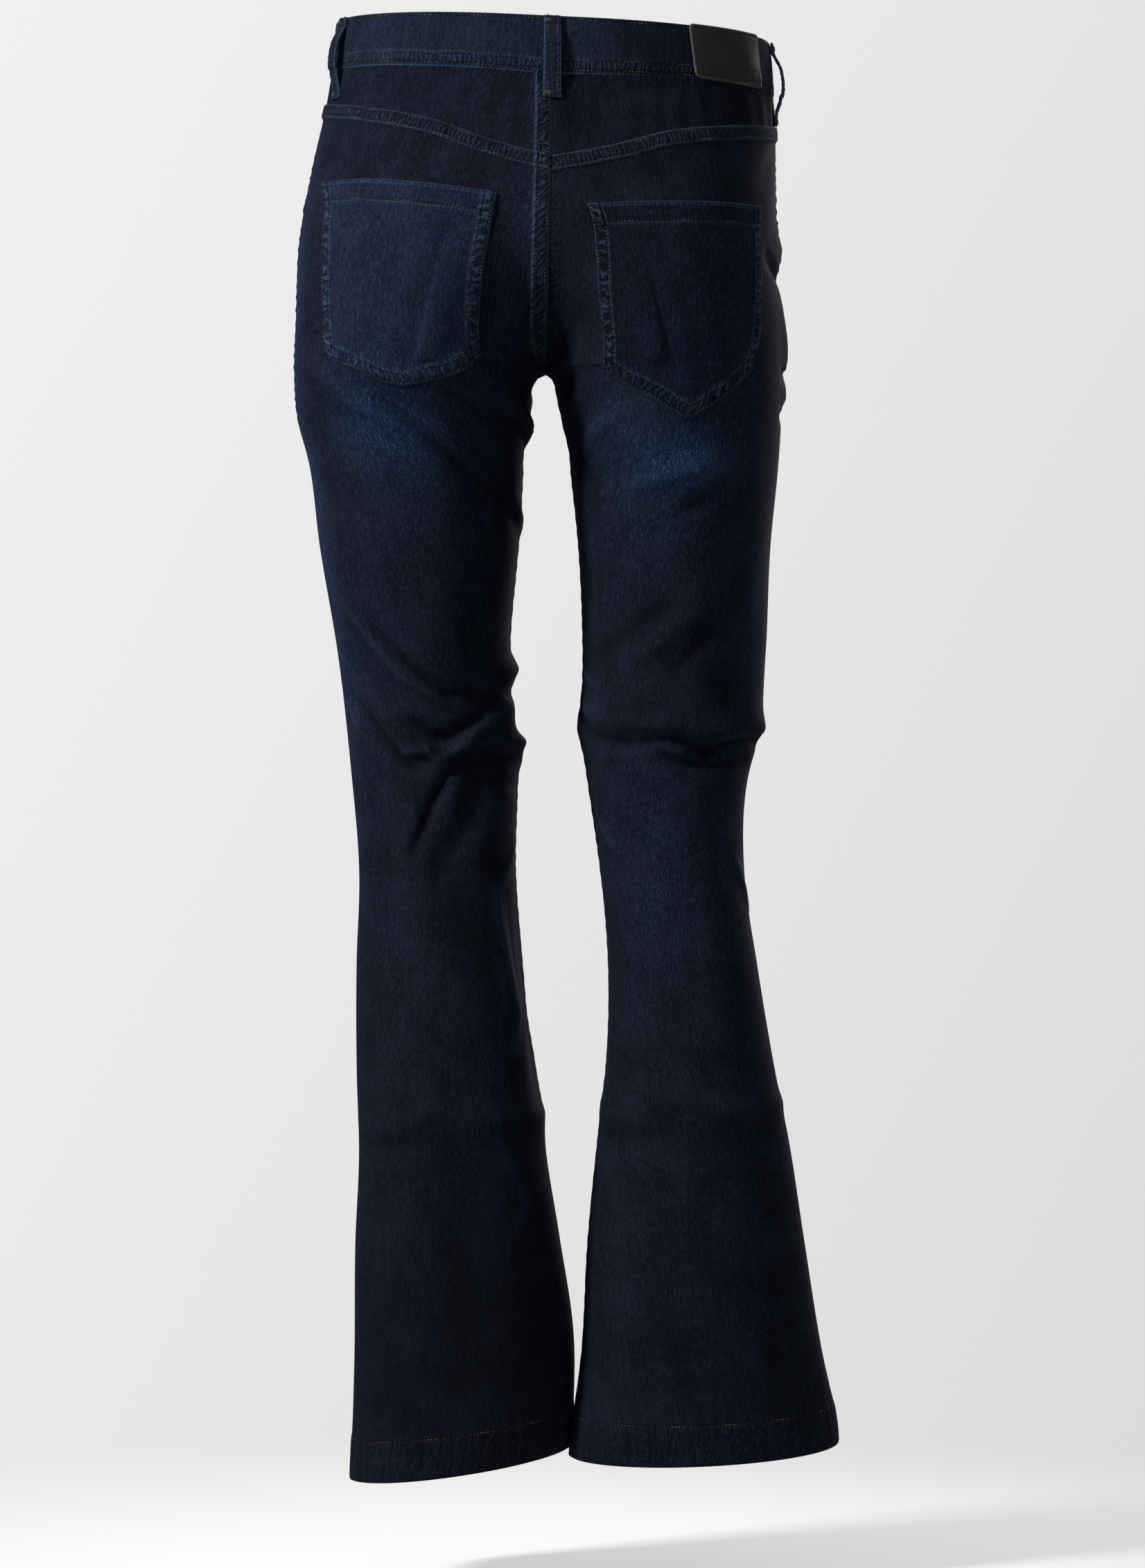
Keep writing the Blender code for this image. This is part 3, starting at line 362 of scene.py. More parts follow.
# Points, normals and girths of one half of the garment, without folds, on the steps above.
def halfSurface(leg, face):
    level = levelSteps[:, None]

    def outline(name):
        return readColumn(outlineTables[leg], outlineColumns, name, level)

    def profile(name):
        return readColumn(profileTable, profileColumns, name, level)

    side, square = outline("side"), profile("square")
    drop = np.clip(level / form["crotch"], 0, 1)
    seam = form["seamTop"] + (form["seamBottom"] - form["seamTop"]) * drop ** 2
    part = 1 - np.clip((form["crotch"] - level) / form["arch"], 0.0, 1.0)
    inner = seam + (outline("inner") - seam) * np.sqrt(1 - part ** 2)
    middle = inner + (side - inner) * profile("seat")
    back, front = profile("back"), profile("front")
    centre = (back + front) / 2
    reach = ((back if face == "back" else front) - centre) * outline("depth")
    turn = np.linspace(0, math.pi / 2, 64)[None, :]
    outerX = middle + (side - middle) * np.cos(turn) ** (2 / square)
    outerY = centre + reach * np.sin(turn) ** (2 / square)
    way = np.sin(turn[:, 1:])
    height = form["backFork"] if face == "back" else form["frontFork"]
    t = np.clip((level - form["crotch"]) / height, 0.0, 1.0)
    out = (1 - (1 - t) ** form["forkCurve"]) ** (1 / form["forkCurve"])
    bare = way ** square
    seamed = np.sin(way * math.pi / 2) ** 2 * (1 - out ** square)
    blend = form["forkBlend"] * out * (1 - out)
    dip = (bare + seamed - np.sqrt((bare - seamed) ** 2 + blend ** 2)) / 2
    x = np.concatenate([outerX, middle + (inner - middle) * way], axis=1)
    y = np.concatenate([outerY, centre + reach * np.maximum(1 - dip, 0.0) ** (1 / square)], axis=1)
    steps = np.hypot(np.diff(x, axis=1), np.diff(y, axis=1))
    run = np.concatenate([np.zeros_like(level), np.cumsum(steps, axis=1)], axis=1)
    girth = run[:, -1].copy()
    run /= run[:, -1:]
    flatX = np.array([np.interp(shareSteps, r, v) for r, v in zip(run, x)])
    flatY = np.array([np.interp(shareSteps, r, v) for r, v in zip(run, y)])
    angle = np.radians(outline("turn"))
    awayX, awayY = flatX - middle, flatY - centre
    turnedX = middle + awayX * np.cos(angle) - awayY * np.sin(angle)
    turnedY = centre + awayX * np.sin(angle) + awayY * np.cos(angle)
    pivot = np.where(level > form["crotch"], 0.0, middle)
    lean = outline("roll") * (turnedX - pivot)
    lean += outline("pitch") * (turnedY - centre)
    points = np.stack([turnedX, turnedY, level + lean], axis=2)
    along = np.gradient(points, shareSteps, axis=1)
    up = np.empty_like(points)          # straight up, at the same distance from the side seam
    last = len(levelSteps) - 1
    for j in range(last + 1):
        ends = []
        for k in (min(j + 1, last), max(j - 1, 0)):
            at = shareSteps * girth[j] / girth[k]
            ends.append(np.stack([np.interp(at, shareSteps, points[k, :, i]) for i in range(3)], axis=1))
        up[j] = ends[0] - ends[1]
    normals = np.cross(along, up)
    if (leg == "right") != (face == "front"):
        normals = -normals
    normals /= np.linalg.norm(normals, axis=2, keepdims=True)
    return points, normals, girth


surfaces = {(leg, face): halfSurface(leg, face) for leg in ("left", "right") for face in ("back", "front")}


# Two faces that meet at a seam get the same normals there.
def shareNormals(first, second, column, rows):
    both = first[rows, column] + second[rows, column]
    both /= np.linalg.norm(both, axis=1, keepdims=True)
    first[rows, column] = both
    second[rows, column] = both


allRows = np.ones(len(levelSteps), dtype=bool)
belowCrotch = levelSteps < form["crotch"]
for leg in ("left", "right"):
    shareNormals(surfaces[leg, "back"][1], surfaces[leg, "front"][1], 0, allRows)
    shareNormals(surfaces[leg, "back"][1], surfaces[leg, "front"][1], -1, belowCrotch)
for face in ("back", "front"):
    shareNormals(surfaces["left", face][1], surfaces["right", face][1], -1, ~belowCrotch)


def girthAt(leg, face, level):
    return np.interp(level, levelSteps, surfaces[leg, face][2])


# Distance over the cloth from the side seam, counted round the front for a negative share.
def fromSideSeam(leg, share, level):
    back, front = girthAt(leg, "back", level), girthAt(leg, "front", level)
    return share * np.where(np.asarray(share) < 0, front, back)


# Sum of one column of a fold table: 6 is the rise, 7 the paleness of the ridge, from wear and painted highlight.
# tight draws it in from the fold's width.
def foldsAt(leg, face, share, level, folds, column, tight=1.0):
    here = fromSideSeam(leg, share if face == "back" else -share, level)
    roundLeg = girthAt(leg, "back", level) + girthAt(leg, "front", level)
    total = np.zeros_like(share)
    for fold in folds:
        owner, startShare, startLevel, endShare, endLevel, width, rise = fold[:7]
        if owner != leg or not fold[column]:
            continue
        start = fromSideSeam(leg, startShare, startLevel)
        runAcross = fromSideSeam(leg, endShare, endLevel) - start
        runDown = endLevel - startLevel
        for wrap in (-1.0, 0.0, 1.0):
            across = here + wrap * roundLeg - start
            down = level - startLevel
            along = np.clip((across * runAcross + down * runDown) / (runAcross ** 2 + runDown ** 2), 0.0, 1.0)
            away = np.hypot(across - along * runAcross, down - along * runDown)
            swell = 0.55 + 0.45 * np.sin(math.pi * along)
            # wrapping round the inseam only makes sense below the crotch
            near = 1.0 if wrap == 0 else 1 - ease(level, form["crotch"] - 0.010, form["crotch"])
            crisp = 2.0 if folds is mainFolds or rise > 0 else 1.6
            total += near * fold[column] * swell * np.exp(-(away / width * tight) ** crisp)
    return total


# how much the fine folds rise, how pale their ridges are from wear and painted highlight, and how much painted shade
# their troughs hold
creases = {
    "fineRise": 1.6, "rub": 0.62, "rubTight": 1.7, "shadeTight": 1.15, "trough": 0.0034, "deepest": 0.72,
}


def foldRise(leg, face, share, level):
    rise = foldsAt(leg, face, share, level, mainFolds, 6)
    rise = rise + creases["fineRise"] * foldsAt(leg, face, share, level, fineFolds, 6)
    # folds die out at the centre seam
    held = np.clip((1 - share) / 0.12, 0.0, 1.0)
    above = np.clip((level - form["crotch"] + 0.02) / 0.02, 0.0, 1.0)
    return rise * (1 - above * (1 - held))


def readSurface(table, share, level):
    s = np.clip(share, 0.0, 1.0) * (len(shareSteps) - 1)
    i = np.clip(s.astype(int), 0, len(shareSteps) - 2)
    s = (s - i)[:, None]
    j = np.clip(np.searchsorted(levelSteps, level, side="right") - 1, 0, len(levelSteps) - 2)
    t = np.clip((level - levelSteps[j]) / (levelSteps[j + 1] - levelSteps[j]), 0.0, 1.0)[:, None]
    low = table[j, i] * (1 - s) + table[j, i + 1] * s
    high = table[j + 1, i] * (1 - s) + table[j + 1, i + 1] * s
    return low * (1 - t) + high * t


def clothPoints(leg, face, share, level, out=0.0):
    share, level = np.atleast_1d(share).astype(float), np.atleast_1d(level).astype(float)
    points, normals, _ = surfaces[leg, face]
    normal = readSurface(normals, share, level)
    normal /= np.linalg.norm(normal, axis=1, keepdims=True)
    return readSurface(points, share, level) + normal * (foldRise(leg, face, share, level) + out)[:, None]


waistQuarters = (
    ("right", "front", lambda d: 1 - d), ("right", "back", lambda d: d), ("left", "back", lambda d: 1 - d),
    ("left", "front", lambda d: d), ("right", "front", lambda d: 1 - d),
)


# Distance counts quarters: 0 is the centre front, 1 the right side, 2 the centre back, 3 the left side.
def waistPoints(distance, level, out=0.0):
    distance = np.atleast_1d(distance).astype(float)
    level = np.broadcast_to(level, distance.shape)
    out = np.broadcast_to(out, distance.shape)
    points = np.zeros((len(distance), 3))
    quarter = np.clip(np.floor(distance).astype(int), 0, 4)
    for index, (leg, face, share) in enumerate(waistQuarters):
        here = quarter == index
        if here.any():
            points[here] = clothPoints(leg, face, share(distance[here] - index), level[here], out[here])
    return points


print("surface worked out:", len(levelSteps), "levels")

# mesh tools


def meshFrom(name, made):
    mesh = bpy.data.meshes.new(name)
    made.to_mesh(mesh)
    made.free()
    return mesh


# A grid as a mesh, with each vertex's column and row.
def gridMesh(name, columns, rows, flip=False):
    grid = bmesh.new()
    bmesh.ops.create_grid(grid, x_segments=columns - 1, y_segments=rows - 1, size=1.0)
    if flip:
        bmesh.ops.reverse_faces(grid, faces=grid.faces)
    mesh = meshFrom(name, grid)
    flat = np.empty(len(mesh.vertices) * 3)
    mesh.vertices.foreach_get("co", flat)
    flat = flat.reshape(-1, 3)
    column = np.rint((flat[:, 0] + 1) / 2 * (columns - 1)).astype(int)
    row = np.rint((1 - flat[:, 1]) / 2 * (rows - 1)).astype(int)
    return mesh, column, row


# The cloth's own map in metres, and the values that its material reads.
def giveCloth(mesh, u, v, values):
    layer = mesh.uv_layers.new(name="cloth")
    corner = np.empty(len(mesh.loops), dtype=np.int32)
    mesh.loops.foreach_get("vertex_index", corner)
    layer.data.foreach_set("uv", np.stack([u[corner], v[corner]], axis=1).ravel())
    for name, value in values.items():
        attribute = mesh.attributes.new(name, "FLOAT", "POINT")
        attribute.data.foreach_set("value", np.broadcast_to(value, u.shape).astype(np.float32).copy())


def addPiece(name, mesh, material, nodes=()):
    mesh.shade_smooth()
    mesh.materials.append(material)
    piece = newObject(name, mesh)
    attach(piece, "root")
    if nodes:
        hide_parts(*nodes)
    return piece


# The wall goes inwards from the outer surface that was laid.
def addWall(piece, thickness, thick=None, thin=1.0):
    wall = piece.modifiers.new("wall", "SOLIDIFY")
    wall.thickness = thickness
    wall.offset = -1.0
    if thick is not None:
        group = piece.vertex_groups.new(name="thick")
        group.add([int(i) for i in np.nonzero(thick)[0]], 1.0, "REPLACE")
        wall.vertex_group = group.name
        wall.thickness_vertex_group = thin


def clothArea(mesh):
    return sum(face.area for face in mesh.polygons)


def bell(away, width):
    return np.exp(-(away / width) ** 2)


# A raised strip of folded cloth along an edge.
def strip(away, width, height):
    return height * (1 - ease(away, width, width + 0.0022)) * (0.45 + 0.55 * ease(away, -0.0002, 0.0011))


def groove(away, at, depth, width=0.0010):
    return -depth * bell(away - at, width)


# cut is a piece's dictionary, with its two stitched rows.
def twoGrooves(away, cut, depth):
    return groove(away, cut["rowNear"], depth) + groove(away, cut["rowFar"], depth)


# An uneven wave between -1 and 1.
def wobble(at, pitch, seed):
    drift = 0.9 * np.sin(at / pitch * 1.31 + seed) + 0.7 * np.sin(at / pitch * 0.47 + seed * 2.3)
    return np.sin(2 * math.pi * at / pitch + drift)


# shader tools


# links maps a socket to a value or to another node's output.
def addNode(tree, kind, links=(), **settings):
    node = tree.nodes.new(kind)
    for key, value in settings.items():
        setattr(node, key, value)
    for socket, value in dict(links).items():
        if isinstance(value, bpy.types.NodeSocket):
            tree.links.new(value, node.inputs[socket])
        else:
            node.inputs[socket].default_value = value
    return node


def linkTo(tree, node, links):
    for socket, value in links.items():
        tree.links.new(value, node.inputs[socket])


def mathNode(tree, operation, *values):
    return addNode(tree, "ShaderNodeMath", enumerate(values), operation=operation).outputs[0]


def plus(tree, first, second):
    return mathNode(tree, "ADD", first, second)


def minus(tree, first, second):
    return mathNode(tree, "SUBTRACT", first, second)


def times(tree, first, second):
    return mathNode(tree, "MULTIPLY", first, second)


# Sum of (value, weight) pairs.
def weighed(tree, *parts):
    total = times(tree, *parts[0])
    for part in parts[1:]:
        total = plus(tree, total, times(tree, *part))
    return total


def within(tree, value, low=0.0, high=1.0):
    return mathNode(tree, "MINIMUM", mathNode(tree, "MAXIMUM", value, low), high)


def rangeNode(tree, value, low, high, outLow=0.0, outHigh=1.0):
    links = {"Value": value, "From Min": low, "From Max": high, "To Min": outLow, "To Max": outHigh}
    return addNode(tree, "ShaderNodeMapRange", links, interpolation_type="SMOOTHSTEP").outputs[0]


# Falls from 1 at low to 0 at high.
def fallNode(tree, value, low, high):
    return minus(tree, 1.0, rangeNode(tree, value, low, high))


def noiseNode(tree, vector, detail, roughness, scale=1.0):
    links = {"Vector": vector, "Scale": scale, "Detail": detail, "Roughness": roughness}
    return addNode(tree, "ShaderNodeTexNoise", links).outputs[0]


def scaledNode(tree, vector, scale, turn=0.0):
    links = {"Vector": vector, "Rotation": (0, 0, turn), "Scale": scale}
    return addNode(tree, "ShaderNodeMapping", links).outputs[0]


def stretchedNoise(tree, vector, scale, detail, roughness):
    return noiseNode(tree, scaledNode(tree, vector, scale), detail, roughness)


def mixNode(tree, factor, first, second):
    links = {"Factor": factor, "A": first, "B": second}
    return addNode(tree, "ShaderNodeMix", links, data_type="RGBA").outputs["Result"]


def attributeNode(tree, name):
    return addNode(tree, "ShaderNodeAttribute", attribute_name=name).outputs["Fac"]


def clothMap(tree):
    return addNode(tree, "ShaderNodeUVMap", uv_map="cloth").outputs[0]


def objectPlace(tree):
    return addNode(tree, "ShaderNodeTexCoord").outputs["Object"]


def bumpNode(tree, height, strength, distance):
    links = {"Height": height, "Strength": strength, "Distance": distance}
    return addNode(tree, "ShaderNodeBump", links).outputs[0]


# A material, its tree and its shader, with the shader's constant values set.
def newMaterial(name, constants):
    material = bpy.data.materials.new(name)
    material.use_nodes = True
    shader = material.node_tree.nodes["Principled BSDF"]
    for socket, value in constants.items():
        shader.inputs[socket].default_value = value
    return material, material.node_tree, shader


# inputs maps a label to its value, or to None for a vector. Every output is a number.
def newGroup(name, inputs, outputs):
    group = bpy.data.node_groups.new(name, "ShaderNodeTree")
    for label, value in inputs.items():
        kind = "NodeSocketVector" if value is None else "NodeSocketFloat"
        socket = group.interface.new_socket(label, in_out="INPUT", socket_type=kind)
        if value is not None:
            socket.default_value = value
    for label in outputs:
        group.interface.new_socket(label, in_out="OUTPUT", socket_type="NodeSocketFloat")
    return group, group.nodes.new("NodeGroupInput"), group.nodes.new("NodeGroupOutput")


# Woven yarns: pale flecks, uneven dye and the height of the weave, on the cloth's own map.
def makeTwillGroup():
    group, given, result = newGroup("twill weave", {"Cloth": None, "Fade": 0.0}, ("Tone", "Fleck", "Height"))
    cloth = given.outputs["Cloth"]
    turned = scaledNode(group, cloth, (330, 330, 330), 1.05)
    twill = {"Vector": turned, "Scale": 1.0, "Distortion": 1.6, "Detail": 1.0, "Detail Scale": 1.5}
    ribs = addNode(group, "ShaderNodeTexWave", twill).outputs["Fac"]
    warp = stretchedNoise(group, cloth, (1250, 190, 1), 2.0, 0.6)
    slub = stretchedNoise(group, cloth, (620, 26, 1), 2.0, 0.5)
    grain = stretchedNoise(group, cloth, (900, 900, 1), 2.0, 0.7)
    patches = stretchedNoise(group, cloth, (34, 24, 1), 4.0, 0.62)
    yarn = weighed(group, (warp, 0.50), (grain, 0.50))
    tone = weighed(group, (yarn, 0.60), (patches, 0.20), (slub, 0.13), (ribs, 0.07))
    spots = rangeNode(group, plus(group, yarn, times(group, slub, 0.12)), 0.56, 0.69)
    # worn cloth shows more of its pale yarn, dark cloth only a speck here and there
    fleck = times(group, spots, plus(group, 0.04, times(group, given.outputs["Fade"], 4.0)))
    height = weighed(group, (ribs, 0.40), (yarn, 0.60))
    linkTo(group, result, {"Tone": tone, "Fleck": fleck, "Height": height})
    return group


# Wear, puckers and stitched grooves beside a sewn edge, with painted shade between the puckers and along the
# stitched rows. Away is the distance from the edge, Along the way down it.
def makeSeamGroup():
    inputs = {
        "Away": 1.0, "Along": 0.0, "Width": 0.0095, "Pitch": 0.0027, "Slant": 0.0, "Near Row": 1.0, "Far Row": 1.0,
    }
    group, given, result = newGroup("sewn edge", inputs, ("Edge", "Rub", "Shade", "Pucker"))
    away, along, width, pitch, slant, nearRow, farRow = [given.outputs[label] for label in inputs]
    slid = plus(group, along, times(group, away, slant))
    spot = {"X": times(group, slid, 150.0), "Y": times(group, away, 130.0)}
    place = addNode(group, "ShaderNodeCombineXYZ", spot).outputs[0]
    drift = noiseNode(group, place, 1.0, 0.5)
    fine = noiseNode(group, place, 2.0, 0.6, 5.0)
    turns = plus(group, mathNode(group, "DIVIDE", slid, pitch), times(group, drift, 2.2))
    wave = mathNode(group, "SINE", times(group, turns, 2 * math.pi))
    ridges = rangeNode(group, weighed(group, (wave, 0.34), (fine, 1.0)), 0.10, 0.90)
    past = minus(group, away, width)
    inside = times(group, rangeNode(group, away, 0.0004, 0.0022), fallNode(group, past, -0.0008, 0.0034))
    masks = []
    for stitched in (nearRow, farRow):
        off = mathNode(group, "ABSOLUTE", minus(group, away, stitched))
        masks.append(fallNode(group, off, 0.0003, 0.0013))
    row = mathNode(group, "MAXIMUM", *masks)
    farEdge = mathNode(group, "ABSOLUTE", minus(group, past, 0.0006))
    farLine = times(group, fallNode(group, farEdge, 0.0003, 0.0013), 0.62)
    line = mathNode(group, "MAXIMUM", fallNode(group, away, 0.0003, 0.0015), farLine)
    broken = rangeNode(group, fine, 0.34, 0.60)
    edge = times(group, line, plus(group, 0.25, times(group, broken, 0.75)))
    rub = times(group, inside, rangeNode(group, ridges, 0.45, 1.0))
    rub = times(group, rub, rangeNode(group, drift, 0.35, 0.60, 0.35, 1.0))
    # painted shade in the troughs between the puckers and along the stitched rows
    shade = times(group, inside, rangeNode(group, ridges, 0.45, 0.0, 0.0, 0.20))
    shade = mathNode(group, "MAXIMUM", shade, times(group, row, 0.62))
    pucker = minus(group, times(group, inside, ridges), times(group, row, 0.5))
    linkTo(group, result, {"Edge": edge, "Rub": rub, "Shade": shade, "Pucker": pucker})
    return group


twillGroup = makeTwillGroup()
seamGroup = makeSeamGroup()
denimCut = {"weaveHeight": 0.16, "puckerHeight": 0.85, "fade": 0.58}


# look holds the colours. seams hold, for each sewn edge: attribute, along U or V, width, pitch, slant, edge, rub
# and the distances of its two stitched rows, where 1.0 is none.
def makeDenim(name, look, seams=()):
    material, tree, shader = newMaterial(name, {
        "Specular IOR Level": 0.07, "Sheen Weight": 0.008, "Sheen Roughness": 0.45,
        "Sheen Tint": (0.45, 0.60, 0.95, 1.0),
    })
    cloth = clothMap(tree)
    # dark is painted shade, from the shadow attribute and each seam's Shade, and mixes the colour towards deep
    fade, dark, pale = [attributeNode(tree, label) for label in ("fade", "shadow", "ridgeWearAndPaintedHighlight")]
    split = addNode(tree, "ShaderNodeSeparateXYZ", {0: cloth}).outputs
    weave = addNode(tree, "ShaderNodeGroup", {"Cloth": cloth, "Fade": fade}, node_tree=twillGroup).outputs
    height = times(tree, weave["Height"], denimCut["weaveHeight"])
    for attribute, along, width, pitch, slant, edge, rub, nearRow, farRow in seams:
        seam = addNode(tree, "ShaderNodeGroup", {
            "Away": attributeNode(tree, attribute), "Along": split["X" if along == "U" else "Y"],
            "Width": width, "Pitch": pitch, "Slant": slant, "Near Row": nearRow, "Far Row": farRow,
        }, node_tree=seamGroup).outputs
        pale = plus(tree, pale, times(tree, seam["Edge"], edge))
        pale = plus(tree, pale, times(tree, seam["Rub"], rub))
        dark = plus(tree, dark, seam["Shade"])
        height = plus(tree, height, times(tree, seam["Pucker"], denimCut["puckerHeight"]))
    colour = mixNode(tree, rangeNode(tree, weave["Tone"], 0.46, 0.56), look["dark"], look["light"])
    amount = plus(tree, times(tree, fade, denimCut["fade"]), weave["Fleck"])
    for share, shade in ((amount, "faded"), (pale, "worn"), (dark, "deep")):
        colour = mixNode(tree, within(tree, share), colour, look[shade])
    linkTo(tree, shader, {
        "Base Color": colour, "Roughness": rangeNode(tree, weave["Tone"], 0.3, 0.7, 0.94, 0.84),
        "Normal": bumpNode(tree, height, 0.9, 0.0009),
    })
    return material


# colours as linear values: the dye's dark and light, faded cloth, worn edges (also used for the fold ridges' painted
# highlight) and deep, the colour of painted shade
panelLook = {
    "dark": (0.0044, 0.0049, 0.0100, 1), "light": (0.0150, 0.0176, 0.0335, 1),
    "faded": (0.034, 0.112, 0.262, 1), "worn": (0.062, 0.110, 0.200, 1), "deep": (0.0020, 0.0020, 0.0040, 1),
}
yokeLook = dict(panelLook, dark=(0.0044, 0.0050, 0.0106, 1), light=(0.0142, 0.0172, 0.0330, 1))
# painted shade: a darker copy of the panel colours for the right yoke and right pocket, on the side turned from the
# key light
shadedLook = dict(panelLook, dark=(0.0034, 0.0037, 0.0078, 1), light=(0.0108, 0.0124, 0.0245, 1))
waistLook = dict(panelLook, dark=(0.0066, 0.0082, 0.0160, 1), light=(0.0175, 0.0220, 0.0390, 1))
pocketLook = dict(panelLook, dark=(0.0058, 0.0072, 0.0150, 1), light=(0.0182, 0.0222, 0.0405, 1))
insideLook = dict(panelLook, light=(0.0190, 0.0225, 0.0330, 1))
print("shader groups made")

# fades and relief of the panels
# leg, face, share, level, half width, half height, strength
fades = (
    ("left", "back", 0.44, -0.270, 0.036, 0.020, 0.11),
    ("left", "back", 0.50, -0.294, 0.034, 0.026, 0.13),
    ("left", "back", 0.38, -0.300, 0.030, 0.026, 0.08),
    ("left", "back", 0.50, -0.340, 0.045, 0.050, 0.035),
    # the next two, by the left side seam, are partly worn fade and partly painted light on the side that faces the
    # key light
    ("left", "back", 0.10, -0.370, 0.024, 0.130, 0.18),
    ("left", "back", 0.08, -0.180, 0.032, 0.090, 0.15),
    ("left", "back", 0.92, -0.170, 0.016, 0.060, 0.05),
    ("left", "back", 0.50, -0.240, 0.050, 0.020, 0.06),
    ("left", "back", 0.40, -0.440, 0.050, 0.060, 0.02),
    ("right", "back", 0.50, -0.312, 0.042, 0.030, 0.17),
    ("right", "back", 0.44, -0.318, 0.026, 0.018, 0.10),
    ("right", "back", 0.68, -0.285, 0.026, 0.024, 0.07),
    ("right", "back", 0.50, -0.360, 0.050, 0.055, 0.035),
    ("right", "back", 0.20, -0.420, 0.010, 0.050, 0.10),
    ("right", "back", 0.52, -0.235, 0.050, 0.030, 0.06),
    ("right", "back", 0.50, -0.600, 0.050, 0.085, 0.045),
    ("left", "front", 0.55, -0.330, 0.045, 0.080, 0.10),
    ("left", "front", 0.52, -0.500, 0.040, 0.045, 0.07),
    ("right", "front", 0.55, -0.330, 0.045, 0.080, 0.10),
    ("right", "front", 0.52, -0.495, 0.040, 0.045, 0.07),
)


def fadeAt(leg, face, share, level):
    total = np.zeros_like(share)
    for owner, side, atShare, atLevel, halfWidth, halfHeight, strength in fades:
        if (owner, side) == (leg, face):
            across = (share * girthAt(leg, face, level) - atShare * girthAt(leg, face, atLevel)) / halfWidth
            total += strength * np.exp(-(across ** 2) - ((level - atLevel) / halfHeight) ** 2)
    return 0.85 * total


# The ridges of the folds are pale along a thin line: worn, and a painted highlight.
def ridgeWearAndHighlightAt(leg, face, share, level):
    return creases["rub"] * foldsAt(leg, face, share, level, fineFolds, 7, creases["rubTight"])


# the lower legs turn away from the light, most of all halfway down the left flare
lowShade = {
    "levels": (0.60, 0.90), "left": 0.26, "right": 0.12, "flare": 0.28, "flareLevel": -0.945, "flareHeight": 0.060,
}


# Painted shade: the colour darkens in the troughs of the folds, and on the lower legs.
def shadowAt(leg, face, share, level):
    rise = foldsAt(leg, face, share, level, fineFolds, 6, creases["shadeTight"])
    low = ease(-level, *lowShade["levels"]) * lowShade[leg]
    if (leg, face) == ("left", "back"):
        low = low + lowShade["flare"] * bell(level - lowShade["flareLevel"], lowShade["flareHeight"])
    return low + np.clip(-rise / creases["trough"], 0.0, creases["deepest"])


sewing = {
    "felledWidth": 0.0095,      # a felled seam's strip
    "felledHeight": 0.0012,
    "yokeLap": 0.0046,          # the back panels' strip laps this far over the yoke
    "yokeStripHeight": 0.0018,
    "centreWidth": 0.0112,
    "underBand": 0.0025,        # panels and yokes reach this far up inside the waistband
    "rowNear": 0.0021,          # the two stitched rows, from the edge
    "rowFar": 0.0088,
    "hemHeight": 0.0300,
    "hemRow": 0.0286,
}
# distances from an edge at which a grid has lines, so that the sewing there keeps its shape
innerSteps = (0.0, 0.0009, 0.0019, 0.0032, 0.0055, 0.0080, 0.0096, 0.0110, 0.0124, 0.0142)
panelSteps = {
    "side": (0.0, 0.0009, 0.0019, 0.0032, 0.0050, 0.0074, 0.0100),
    "top": (0.0, 0.0005, 0.0012, 0.0021, 0.0034, 0.0055, 0.0076, 0.0088, 0.0098, 0.0110, 0.0124),
    "hem": (
        0.0, 0.0006, 0.0014, 0.0030, 0.0070, 0.0120, 0.0180, 0.0230, 0.0264, 0.0276, 0.0286, 0.0296, 0.0306, 0.0320,
    ),
}


def yokeLevel(share):
    return readPairs(yokeSeam, share)


def panelTop(face, share):
    if face == "back":
        return yokeLevel(share) + sewing["yokeLap"]
    opening = pocketOpening(share) + 0.010 * ease(share, 0.455, 0.465)
    return np.minimum(opening, waistSeam("front", share) + sewing["underBand"]) - form["gap"] / 2


def topSlope(face, share):
    return (panelTop(face, share + 0.004) - panelTop(face, share - 0.004)) / (0.008 * 0.215)


# Distances over the cloth from the panel's four edges.
def panelAways(leg, face, share, level):
    girth = girthAt(leg, face, level)
    lean = 1 / np.sqrt(1 + topSlope(face, np.clip(share, 0.004, 0.996)) ** 2)
    return {
        "fromTop": (panelTop(face, share) - level) * lean,
        "fromSide": share * girth,
        "fromInner": (1 - share) * girth,
        "fromHem": level - form["hem"][leg],
    }


def aboveCrotch(level):
    return ease(level, form["crotch"] - 0.002, form["crotch"] + 0.006)


